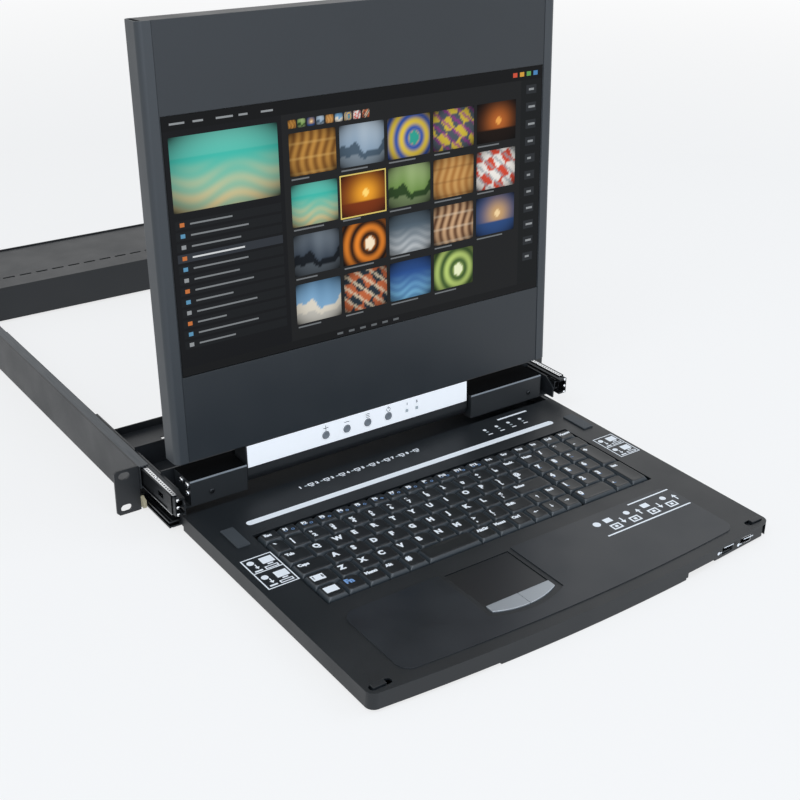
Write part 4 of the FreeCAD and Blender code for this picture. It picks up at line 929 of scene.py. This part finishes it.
class DRAWER_OT_hinges(bpy.types.Operator):
    """Softens the hinge covers and carriage, and adds their hems and screws"""
    bl_idname = "drawer.hinges"
    bl_label = "Hinges and carriage"

    def execute(self, context):
        heads, hems, bolts = [], [], []
        for side, outward, x, z in COVERS:
            node = "hinge_cover_" + side
            cover = softened(node, "display_carriage",
                             "satin_stove_enamel", 0.7, 3)
            # the faces that look up take the painted shade
            also(cover, "cover_top_painted_shade",
                 lambda centre, normal: normal[:, 2] > FACES_UP)
            low, high = extent(node)
            heads.append(screw_head((x, low[1], z), (0, -1, 0), *COVER_SCREW))
            length = high[0] - low[0]
            hem = [(0.0, 0.0), (HEM, 0.0), (HEM, length), (0.0, length)]
            corner = (low[0], low[1] + HEM - HEM_PROUD, high[2] - HEM + HEM_PROUD)
            hems.append(turned(hem, corner, (1, 0, 0), 16))
            end = (low if outward < 0 else high)[0]
            bolts += [screw_head((end, low[1] + back, high[2] - down), (outward, 0, 0),
                                 *END_SCREW)
                      for back, down in END_SCREW_PLACES]
        softened("carriage_frame", "display_carriage",
                 "powder_coated_steel", 0.4)
        # the hems are painted pale as a highlight along the covers' top edge
        for name, shapes, slot, finish in (
                ("cover_screws", heads, "black_zinc", "black_passivated_zinc"),
                ("cover_hems", hems, "black_steel", "hem_painted_highlight"),
                ("cover_end_screws", bolts, "bright_steel", "polished_bearing_steel")):
            joined_piece(name, shapes, "display_carriage", finish)
        return {"FINISHED"}


# ---- operators: slides ------------------------------------------------------


RIVET = [(1.5, -0.2), (1.5, 0.3), (1.1, 0.8), (0.5, 1.0)]   # radius and height
RIVET_INSET = 2.4          # rivets from the member's outer face
RIVET_MARGIN = 1.2         # outer rivets from its upper and lower edge
STRIP_LENGTH = 20.0        # a solid longer than this is a retainer, a shorter one a ball
RETAINERS = (("outer_ball_cages", "outer_cages", "pierced_zinc_retainer"),
             ("inner_ball_cages", "inner_cages", "zinc_plated_steel"),
             ("tray_ball_cages", "tray_cages", "zinc_plated_steel"))


def end_rivets(side):
    """Three rivets on the front end of one middle member, one above the other."""
    low, high = extent("lcd_slide_middles")
    x = side * (high[0] - RIVET_INSET)
    heights = (high[2] - RIVET_MARGIN, (low[2] + high[2]) / 2, low[2] + RIVET_MARGIN)
    return [turned(RIVET, (x, low[1], z), (0, -1, 0), 16) for z in heights]


class DRAWER_OT_slides(bpy.types.Operator):
    """Rounds the balls of the slides, keeping each retainer strip of the CAD node"""
    bl_idname = "drawer.slides"
    bl_label = "Ball slides"

    def execute(self, context):
        for node, body, finish in RETAINERS:
            places, triangles, group = shells(node)
            strips, balls = [], []
            for g in np.unique(group):
                members = places[group == g]
                low, high = members.min(0), members.max(0)
                if high[1] - low[1] > STRIP_LENGTH:
                    inside = triangles[group[triangles[:, 0]] == g]
                    used, renumbered = np.unique(inside, return_inverse=True)
                    strips.append((places[used], renumbered.reshape(-1, 3).tolist()))
                else:
                    balls.append(sphere((low + high) / 2, (high - low).max() / 2, 14))
            joined_piece(node + "_strips", strips, body, finish, (node,),
                         sharp=25)
            joined_piece(node + "_balls", balls, body,
                         "polished_bearing_steel", sharp=80)
        joined_piece("slide_end_rivets", end_rivets(-1) + end_rivets(1), "slide_middles",
                     "polished_bearing_steel")
        return {"FINISHED"}


SHANK_RADIUS = 2.0         # clamp screws: shank, button head and hexagon socket
HEAD_RADIUS = 3.9
HEAD_HEIGHT = 1.9
SOCKET_RADIUS = 1.6


class DRAWER_OT_chassis(bpy.types.Operator):
    """Softens the folded plates and turns the clamp screws"""
    bl_idname = "drawer.chassis"
    bl_label = "Chassis"

    def execute(self, context):
        for side in ("left", "right"):
            softened("side_plate_" + side, "chassis",
                     "powder_coated_steel", 0.35)
        softened("rear_brackets", "rear_arms", "powder_coated_steel", 0.35)
        softened("electronics_case", "chassis", "powder_coated_steel", 0.5)
        heads = []
        for low, high in boxes("clamp_screws"):
            middle = (low + high) / 2
            side = 1 if middle[0] > 0 else -1
            inner, outer = (low[0], high[0]) if side > 0 else (high[0], low[0])
            reach = abs(outer - inner)
            under = reach - HEAD_HEIGHT
            profile = [(SHANK_RADIUS, 0), (SHANK_RADIUS, under), (HEAD_RADIUS, under),
                       (HEAD_RADIUS, reach - 0.7), (3.5, reach - 0.2), (2.9, reach),
                       (SOCKET_RADIUS, reach), (SOCKET_RADIUS - 0.1, reach - 1.2)]
            heads.append(turned(profile, (inner, middle[1], middle[2]), (side, 0, 0), 24, 6))
        joined_piece("clamp_screw_heads", heads, "chassis",
                     "zinc_plated_steel", ("clamp_screws",))
        return {"FINISHED"}


# ---- operators: the tray ----------------------------------------------------

PALM_STEP = 0.3            # faces this far above the deck belong to the palm rest


class DRAWER_OT_deck(bpy.types.Operator):
    """Softens the deck, its palm rest, grip, ports, latches and touchpad buttons"""
    bl_idname = "drawer.deck"
    bl_label = "Keyboard deck"

    def execute(self, context):
        deck = softened("deck_cover", "keyboard_tray", "grained_abs_deck", 0.8, 3)
        also(deck, "worn_abs_palm_rest",
             lambda centre, normal: centre[:, 2] > DECK_TOP + PALM_STEP)
        softened("pull_grip", "keyboard_tray", "grained_abs_deck", 0.5)
        softened("usb_port_block", "keyboard_tray", "grained_abs_deck", 0.5)
        softened("tray_pan", "keyboard_tray", "powder_coated_steel", 0.35)
        softened("touchpad", "keyboard_tray", "smooth_polycarbonate_pad", 0.3)
        softened("bumper_pads", "keyboard_tray", "silicone_rubber_pad", 0.6, 3)
        for side in ("left", "right"):
            softened("release_latch_" + side, "latch_" + side,
                     "grained_abs_deck", 0.5, 3)
            softened("touchpad_button_" + side, "pad_button_" + side,
                     "silver_painted_abs", 0.5, 3)
        return {"FINISHED"}


KEY_TAPER = 1.5            # a key's top is this much smaller on each side
BACK_TAPER = 0.6           # the back tapers by this share of the other sides
SKIRT_SHARE = 0.45         # the straight skirt's share of a key's height
SKIRT_CORNER = 0.5         # and its corner radius
TOP_RINGS = (0.85, 0.65, 0.45, 0.25, 0.08)   # rings on the top, as shares of its rim


def rounded_outline(x0, x1, y0, y1, radius, steps, run):
    """Points round a rectangle with rounded corners, with run more on front and back."""
    turn = np.linspace(0, math.pi / 2, steps)
    between = np.linspace(x1 - radius, x0 + radius, run + 2)[1:-1]
    x, y = [], []
    for quarter, (cx, cy) in enumerate(((x1 - radius, y1 - radius), (x0 + radius, y1 - radius),
                                        (x0 + radius, y0 + radius), (x1 - radius, y0 + radius))):
        x.append(cx + radius * np.cos(turn + quarter * math.pi / 2))
        y.append(cy + radius * np.sin(turn + quarter * math.pi / 2))
        if quarter in (0, 2):
            x.append(between if quarter == 0 else between[::-1])
            y.append(np.full(run, y1 if quarter == 0 else y0))
    return np.concatenate(x), np.concatenate(y)


def key_grid(low, high, settings, steps=6, run=6):
    """A keycap over the box of its CAD solid.

    Rings of a rounded rectangle: straight skirt, tapering sides, a rim rounded over a
    quarter circle, then rings that shrink to the middle.  On top the height falls by
    dish * (1 - (x / half width) squared), a shallow cylinder along the key."""
    corner, edge, dish = settings.corner / MM, settings.edge / MM, settings.dish / MM
    wide, _, tall = high - low
    turn = np.linspace(0, math.pi / 2, 5)
    levels = [(0.0, 0.0, SKIRT_CORNER), (0.0, tall * SKIRT_SHARE, SKIRT_CORNER),
              (KEY_TAPER, tall - edge, corner)]
    levels += [(KEY_TAPER + edge * (1 - math.cos(a)), tall - edge + edge * math.sin(a), corner)
               for a in turn[1:]]
    rings = []
    for inset, height, radius in levels:
        x, y = rounded_outline(low[0] + inset, high[0] - inset, low[1] + inset,
                               high[1] - inset * BACK_TAPER, radius, steps, run)
        rings.append(np.stack([x, y, np.full_like(x, low[2] + height)], -1))
    rim = rings[-1]
    middle = rim.mean(0)
    for share in TOP_RINGS:
        rings.append(middle + (rim - middle) * (share, share, 1.0))
    points = np.stack(rings)
    reach = wide / 2 - KEY_TAPER - edge
    across = np.clip(np.abs(points[len(levels):, :, 0] - middle[0]) / reach, 0, 1)
    points[len(levels):, :, 2] -= dish * (1 - across ** 2)
    count = 4 * steps + 2 * run
    faces = grid_faces(len(rings), count, True).tolist()
    faces.append(list(range(count))[::-1])
    faces.append(list(range(len(rings) * count - count, len(rings) * count)))
    return points.reshape(-1, 3), faces


KEY_ROWS = {
    "control_keys": ("control_row", "Ctrl Fn Menu Alt # AltGr Menu Ctrl left down right"),
    "space_bar": ("space_key", "-"),
    "shift_row_keys": ("shift_row", "Shift Z X C V B N M , . Shift up End"),
    "caps_row_keys": ("caps_row", "Caps A S D F G H J K L ; Enter"),
    "tab_row_keys": ("tab_row", "Tab Q W E R T Y U I O P [ ]"),
    "number_row_keys": ("number_row", "` 1 2 3 4 5 6 7 8 9 0 - = Back"),
    "function_row_keys": ("function_row", "Esc F1 F2 F3 F4 F5 F6 F7 F8 F9 F10 F11 F12 "
                                          "Prt Scr Pau Ins Del Home"),
    "number_pad_keys": ("number_pad", "0 . Ent 1 2 3 4 5 6 + 7 8 9 Num / * -"),
}
UPPER_SIGNS = dict(zip("1234567890-=;,.[]", "!\"$%^&*()_+:<>{}@"))
ARROWS = {"right": 0, "up": 1, "left": 2, "down": 3}
BLOCKED = {("control_keys", 0), ("shift_row_keys", 0)}   # keys with a white block
LEGEND_LEFT, LEGEND_BACK = 3.5, 3.0    # from a key's left and back edge to its legend
SIGN_SHARE = 0.8           # height of a digit or sign, as a share of a letter's
SIGN_DROP = 3.6            # and how far forward the lower of two stands


def legends_for(node, number, text, low, high, settings):
    """White, blue and dark legend shapes of one key."""
    letter, word = settings.letter / MM, settings.word / MM
    x, y = low[0] + LEGEND_LEFT, high[1] - LEGEND_BACK
    if text == "-" and node == "space_bar":
        return [], [], []
    if (node, number) in BLOCKED:
        plate = bar(x - 0.3, y - 8.2, min(x + 11.2, high[0] - 3.4), y - 0.4)
        return [plate], [], [words(text, x + 0.9, y - 5.4, word * 1.05)]
    if text in ARROWS:
        return [arrow((low[0] + high[0]) / 2, y - 4.6, 5.2, ARROWS[text])], [], []
    if len(text) > 1:
        white = [words(text, x, y - word, word)]
        blue = []
        if node == "function_row_keys" and text[0] == "F":
            blue = [ring(high[0] - 5.6, y - 4.6, 1.4, 0.5), bar(x, y - 5.0, x + 3.0, y - 4.4)]
        elif text == "Fn":
            blue, white = [words(text, x, y - letter, letter)], []
        return white, blue, []
    drop, share = (SIGN_DROP, SIGN_SHARE) if text in UPPER_SIGNS else (0, 1.0)
    white, blue = [words(text, x, y - letter - drop, letter * share)], []
    if text in UPPER_SIGNS and node != "number_pad_keys":
        white.append(words(UPPER_SIGNS[text], x, y - letter * 0.9, letter * SIGN_SHARE))
    elif node == "number_pad_keys" and text in "0123456789.":
        white = [words(text, x, y - letter, letter)]
        blue = [bar(x + 0.2, y - 6.6, x + 3.6, y - 6.0)]
    return white, blue, []


class DRAWER_OT_keyboard(bpy.types.Operator):
    """Moulds the keycaps row by row and prints their legends"""
    bl_idname = "drawer.keyboard"
    bl_label = "Keys and legends"

    def execute(self, context):
        settings = context.scene.drawer_keys
        dish = settings.dish / MM
        for node, (body, text) in KEY_ROWS.items():
            keys = boxes(node)
            names = text.split()
            if len(names) != len(keys):
                raise RuntimeError("%s has %d keys and %d legends"
                                   % (node, len(keys), len(names)))
            caps = joined_piece(
                node + "_caps", [key_grid(low, high, settings) for low, high in keys],
                body, "matt_abs_keycap", (node,), sharp=60)
            # everything below the bottom of the dish is skirt, painted paler as a painted
            # highlight
            shoulder = keys[0][1][2] - dish - 0.05
            also(caps, "keycap_skirt_painted_highlight",
                 lambda centre, normal, level=shoulder: centre[:, 2] < level)
            inks = {"white": [], "blue": [], "black": []}
            for number, (name, (low, high)) in enumerate(zip(names, keys)):
                shapes = legends_for(node, number, name, low, high, settings)
                for layer, (ink, group) in enumerate(zip(inks, shapes)):
                    reach = (high[0] - low[0]) / 2 - KEY_TAPER - settings.edge / MM
                    for flat, flat_faces in group:
                        aside = np.abs(flat[:, 0] - (low[0] + high[0]) / 2)
                        across = np.clip(aside / reach, 0, 1)
                        height = high[2] - dish * (1 - across ** 2) + ABOVE * (1 + layer)
                        inks[ink].append((np.insert(flat, 2, height, axis=1), flat_faces))
            for ink, group in inks.items():
                if group:
                    joined_piece("%s_%s_legends" % (node, ink), group, body,
                                 ink + "_screen_ink")
        return {"FINISHED"}


STRIPE = (-164.0, -102.6, 169.3, -95.8)        # left, front, right and back
PORT_LIGHT, PORT_PITCH = -92.7, 16.4           # the first of eight lights, and their pitch
STATUS_LIGHTS = (106.0, 120.6, 135.2, 149.8)   # the four lights further right


def shortcut_box(x0, x1, y0, y1, divider):
    """Two framed cells with small pictures of a screen, keys and arrows.

    Every offset is a share of the box's width."""
    wide = x1 - x0
    line = wide * 0.04
    shapes = [outline_box(x0, y0, x1, y1, line), bar(x0, divider, x1, divider + line)]
    for middle in ((y0 + divider) / 2, (divider + y1) / 2):
        shapes += [bar(x0 + wide * 0.51, middle - wide * 0.06,
                       x0 + wide * 0.91, middle + wide * 0.26),
                   bar(x0 + wide * 0.62, middle - wide * 0.15,
                       x0 + wide * 0.80, middle - wide * 0.09),
                   disc(x0 + wide * 0.21, middle + wide * 0.16, wide * 0.11),
                   arrow(x0 + wide * 0.29, middle - wide * 0.08, wide * 0.25, 3),
                   outline_box(x0 + wide * 0.46, middle - wide * 0.34,
                               x1 - wide * 0.11, middle - wide * 0.2, line),
                   bar(x0 + wide * 0.12, middle - wide * 0.33,
                       x0 + wide * 0.37, middle - wide * 0.26)]
    return shapes


class DRAWER_OT_deck_prints(bpy.types.Operator):
    """Prints the stripe, port numbers, shortcut cells and small signs on the deck"""
    bl_idname = "drawer.deck_prints"
    bl_label = "Deck prints"

    def execute(self, context):
        print_piece("deck_stripe", [rounded_bar(*STRIPE)], on_level(DECK_TOP + ABOVE),
                    "keyboard_tray", "white_screen_ink")
        shapes = []
        for n in range(8):
            x = PORT_LIGHT + PORT_PITCH * n
            shapes.append(words(str(n + 1), x - 6.4, -73.6, 3.4))
            shapes.append(outline_box(x + 2.2, -73.6, x + 8.0, -69.8, 1.1))
            shapes.append(bar(x + 3.4, -75.4, x + 6.8, -74.4))
        for x in STATUS_LIGHTS:
            shapes.append(bar(x - 2.6, -86.4, x + 2.6, -85.0))
            shapes.append(disc(x, -76.2, 1.9, 12))
        shapes.append(bar(130.0, -67.2, 166.6, -64.8))
        shapes += shortcut_box(-200.0, -172.0, -194.0, -147.0, -169.5)
        shapes += shortcut_box(179.0, 203.0, -190.0, -150.0, -170.0)
        print_piece("deck_marks", shapes, on_level(DECK_TOP + ABOVE), "keyboard_tray",
                    "white_screen_ink")
        shapes = [bar(72.0, -286.8, 170.0, -285.2), bar(121.0, -258.8, 170.0, -257.2),
                  disc(76.5, -267.0, 3.6)]
        for n in range(4):
            x = 84.0 + n * 22.0
            shapes.append(outline_box(x, -282.0, x + 10.5, -274.0, 1.6))
            shapes.append(bar(x + 3.6, -279.4, x + 7.0, -276.6))
            shapes.append(disc(x + 5.0, -266.8, 3.0) if n % 2
                          else bar(x + 1.0, -270.0, x + 9.0, -263.8))
            shapes.append(arrow(x + 16.0, -274.0 + 3 * (n % 2), 9.0, 3 - 2 * (n % 2)))
        print_piece("palm_marks", shapes, on_level(PALM_TOP + ABOVE), "keyboard_tray",
                    "white_screen_ink")
        block_low, block_high = extent("usb_port_block")
        middle = (block_low[2] + block_high[2]) / 2
        shapes = []
        for low, high in boxes("usb_sockets"):
            x = low[0] - 4.2
            shapes += [disc(x - 1.2, middle, 1.5, 12), bar(x, middle - 0.5, x + 2.6, middle + 0.5),
                       bar(low[0] + 0.8, high[2] + 0.5, high[0] - 0.8, high[2] + 1.3)]
        print_piece("port_marks", shapes, on_front(block_low[1] - ABOVE), "keyboard_tray",
                    "white_screen_ink")
        return {"FINISHED"}


# ---- stage ------------------------------------------------------------------

LOOK_FROM = Vector((-0.6036, -0.938, 0.5725))      # the camera, in metres
LOOK_ALONG = Vector((0.5384, 0.7257, -0.4283))
ROLL = math.radians(1.297)
FOCAL_LENGTH = 58.36       # millimetres, on a sensor 36 mm wide
SHIFT = (-0.0343, -0.0216)           # the lens is shifted by these shares of the sensor
FLOOR_HALF = 9.0           # half the floor's width in metres
FLOOR_GAP = 0.0005         # and how far it lies below the drawer
PLAIN_SHARE = 0.75         # share of the floor near the drawer that is plain white
FADE_FROM, FADE_TO = 1.2, 3.5        # it becomes all white between these distances


def aim(obj, place, target):
    """Stands an object at a place with its -Z axis pointing at a target."""
    obj.location = place
    obj.rotation_euler = (Vector(target) - Vector(place)).to_track_quat("-Z", "Y").to_euler()


def area_lamp(name, place, target, size, power, colour):
    """A rectangular lamp that points at a target and belongs to the stage."""
    lamp = bpy.data.lights.new(name, "AREA")
    lamp.shape = "RECTANGLE"
    lamp.size, lamp.size_y = size
    lamp.energy = power
    lamp.color = colour
    obj = bpy.data.objects.new(name, lamp)
    bpy.context.scene.collection.objects.link(obj)
    aim(obj, place, target)


def seen_directly(tree):
    """1 for rays from the camera, off gloss or through glass, else 0."""
    path = add_node(tree, "ShaderNodeLightPath").outputs
    either = add_node(tree, "ShaderNodeMath", {0: path["Is Camera Ray"],
                                               1: path["Is Glossy Ray"]}, operation="MAXIMUM")
    return add_node(tree, "ShaderNodeMath", {
        0: either.outputs[0], 1: path["Is Transmission Ray"]}, operation="MAXIMUM").outputs[0]


class DRAWER_OT_studio(bpy.types.Operator):
    """Sets the pale floor, the soft lights, the white surroundings and the camera"""
    bl_idname = "drawer.studio"
    bl_label = "Studio"

    def execute(self, context):
        settings = context.scene.drawer_studio
        scene = context.scene
        level, half = CAD_BOX[0][2] - FLOOR_GAP, FLOOR_HALF
        mesh = bpy.data.meshes.new("studio_floor")
        mesh.from_pydata([(-half, -half, level), (half, -half, level), (half, half, level),
                          (-half, half, level)], [], [(0, 1, 2, 3)])
        floor = bpy.data.objects.new("studio_floor", mesh)
        scene.collection.objects.link(floor)
        # matt paper: a quarter lit by the lamps so that it keeps the shadow, the rest
        # plain white
        paper = bpy.data.materials.new("matt_white_paper")
        tree = bare_tree(paper)
        lit = add_node(tree, "ShaderNodeBsdfDiffuse", {"Color": (*settings.floor, 1.0)})
        plain = add_node(tree, "ShaderNodeEmission", {"Color": (1, 1, 1, 1), "Strength": 1.0})
        # further from the drawer the paper turns fully white, so that no horizon shows
        place = add_node(tree, "ShaderNodeTexCoord").outputs["Object"]
        away = add_node(tree, "ShaderNodeVectorMath", {"Vector": place}, operation="LENGTH")
        fade = add_node(tree, "ShaderNodeMapRange", {
            "Value": away.outputs["Value"], "From Min": FADE_FROM, "From Max": FADE_TO,
            "To Min": PLAIN_SHARE, "To Max": 1.0})
        share = add_node(tree, "ShaderNodeMath", {
            0: seen_directly(tree), 1: fade.outputs["Result"]}, operation="MULTIPLY")
        both = add_node(tree, "ShaderNodeMixShader", {
            0: share.outputs[0], 1: lit.outputs["BSDF"], 2: plain.outputs["Emission"]})
        add_node(tree, "ShaderNodeOutputMaterial", {"Surface": both.outputs["Shader"]})
        mesh.materials.append(paper)

        world = bpy.data.worlds.new("studio_surroundings")
        scene.world = world
        tree = bare_tree(world)
        soft = add_node(tree, "ShaderNodeBackground", {
            "Color": (*linear("#e2ebf4"), 1.0), "Strength": settings.sky})
        white = add_node(tree, "ShaderNodeBackground", {"Color": (1, 1, 1, 1), "Strength": 1.0})
        mixed = add_node(tree, "ShaderNodeMixShader", {
            0: seen_directly(tree), 1: soft.outputs["Background"],
            2: white.outputs["Background"]})
        add_node(tree, "ShaderNodeOutputWorld", {"Surface": mixed.outputs["Shader"]})

        area_lamp("key_light", (-1.6, -1.2, 2.2), (0, -0.1, 0.1), (1.6, 1.2),
                  settings.key_light, linear("#e9f2ff"))
        area_lamp("fill_light", (1.9, -1.0, 1.4), (0, -0.1, 0.1), (1.4, 1.4),
                  settings.fill_light, linear("#e4efff"))
        area_lamp("front_light", (-0.3, -2.6, 0.9), (0, 0, 0.15), (2.2, 1.2),
                  settings.front_light, linear("#e6f0ff"))

        camera = bpy.data.cameras.new("studio_camera")
        camera.lens = FOCAL_LENGTH
        camera.sensor_width = 36.0
        camera.shift_x, camera.shift_y = SHIFT
        camera.clip_start = 0.01
        view = bpy.data.objects.new("studio_camera", camera)
        scene.collection.objects.link(view)
        right = LOOK_ALONG.cross(Vector((0, 0, 1))).normalized()
        up = right.cross(LOOK_ALONG).normalized()
        across = right * math.cos(ROLL) + up * math.sin(ROLL)
        above = up * math.cos(ROLL) - right * math.sin(ROLL)
        turn = Matrix((across, above, -LOOK_ALONG.normalized())).transposed()
        view.matrix_world = Matrix.Translation(LOOK_FROM) @ turn.to_4x4()
        scene.camera = view
        scene.view_settings.view_transform = "Standard"
        return {"FINISHED"}


# ---- add-on -----------------------------------------------------------------

OPERATORS = (
    DRAWER_OT_finishes,
    DRAWER_OT_chassis,
    DRAWER_OT_slides,
    DRAWER_OT_hinges,
    DRAWER_OT_display,
    DRAWER_OT_menu_strip,
    DRAWER_OT_screen_picture,
    DRAWER_OT_deck,
    DRAWER_OT_keyboard,
    DRAWER_OT_deck_prints,
    DRAWER_OT_studio,
)


class DRAWER_PT_panel(bpy.types.Panel):
    """Lists the steps that dress the console drawer"""
    bl_idname = "DRAWER_PT_panel"
    bl_label = "Console drawer"
    bl_space_type = "VIEW_3D"
    bl_region_type = "UI"
    bl_category = "Console drawer"

    def draw(self, context):
        for group in ("drawer_finish", "drawer_keys", "drawer_screen", "drawer_studio"):
            settings = getattr(context.scene, group)
            for name in settings.__annotations__:
                self.layout.prop(settings, name)
        for operator in OPERATORS:
            self.layout.operator(operator.bl_idname)


GROUPS = {
    "drawer_finish": FinishSettings,
    "drawer_keys": KeySettings,
    "drawer_screen": ScreenSettings,
    "drawer_studio": StudioSettings,
}


def register():
    """Adds the settings, the operators and the panel."""
    for name, group in GROUPS.items():
        bpy.utils.register_class(group)
        setattr(bpy.types.Scene, name, bpy.props.PointerProperty(type=group))
    for operator in OPERATORS:
        bpy.utils.register_class(operator)
    bpy.utils.register_class(DRAWER_PT_panel)


def unregister():
    """Takes everything away again, last first."""
    bpy.utils.unregister_class(DRAWER_PT_panel)
    for operator in reversed(OPERATORS):
        bpy.utils.unregister_class(operator)
    for name, group in GROUPS.items():
        delattr(bpy.types.Scene, name)
        bpy.utils.unregister_class(group)


def main():
    """Runs every step."""
    register()
    bpy.ops.drawer.finishes()
    bpy.ops.drawer.chassis()
    bpy.ops.drawer.slides()
    bpy.ops.drawer.hinges()
    bpy.ops.drawer.display()
    bpy.ops.drawer.menu_strip()
    bpy.ops.drawer.screen_picture()
    bpy.ops.drawer.deck()
    bpy.ops.drawer.keyboard()
    bpy.ops.drawer.deck_prints()
    bpy.ops.drawer.studio()


if __name__ == "__main__":
    main()
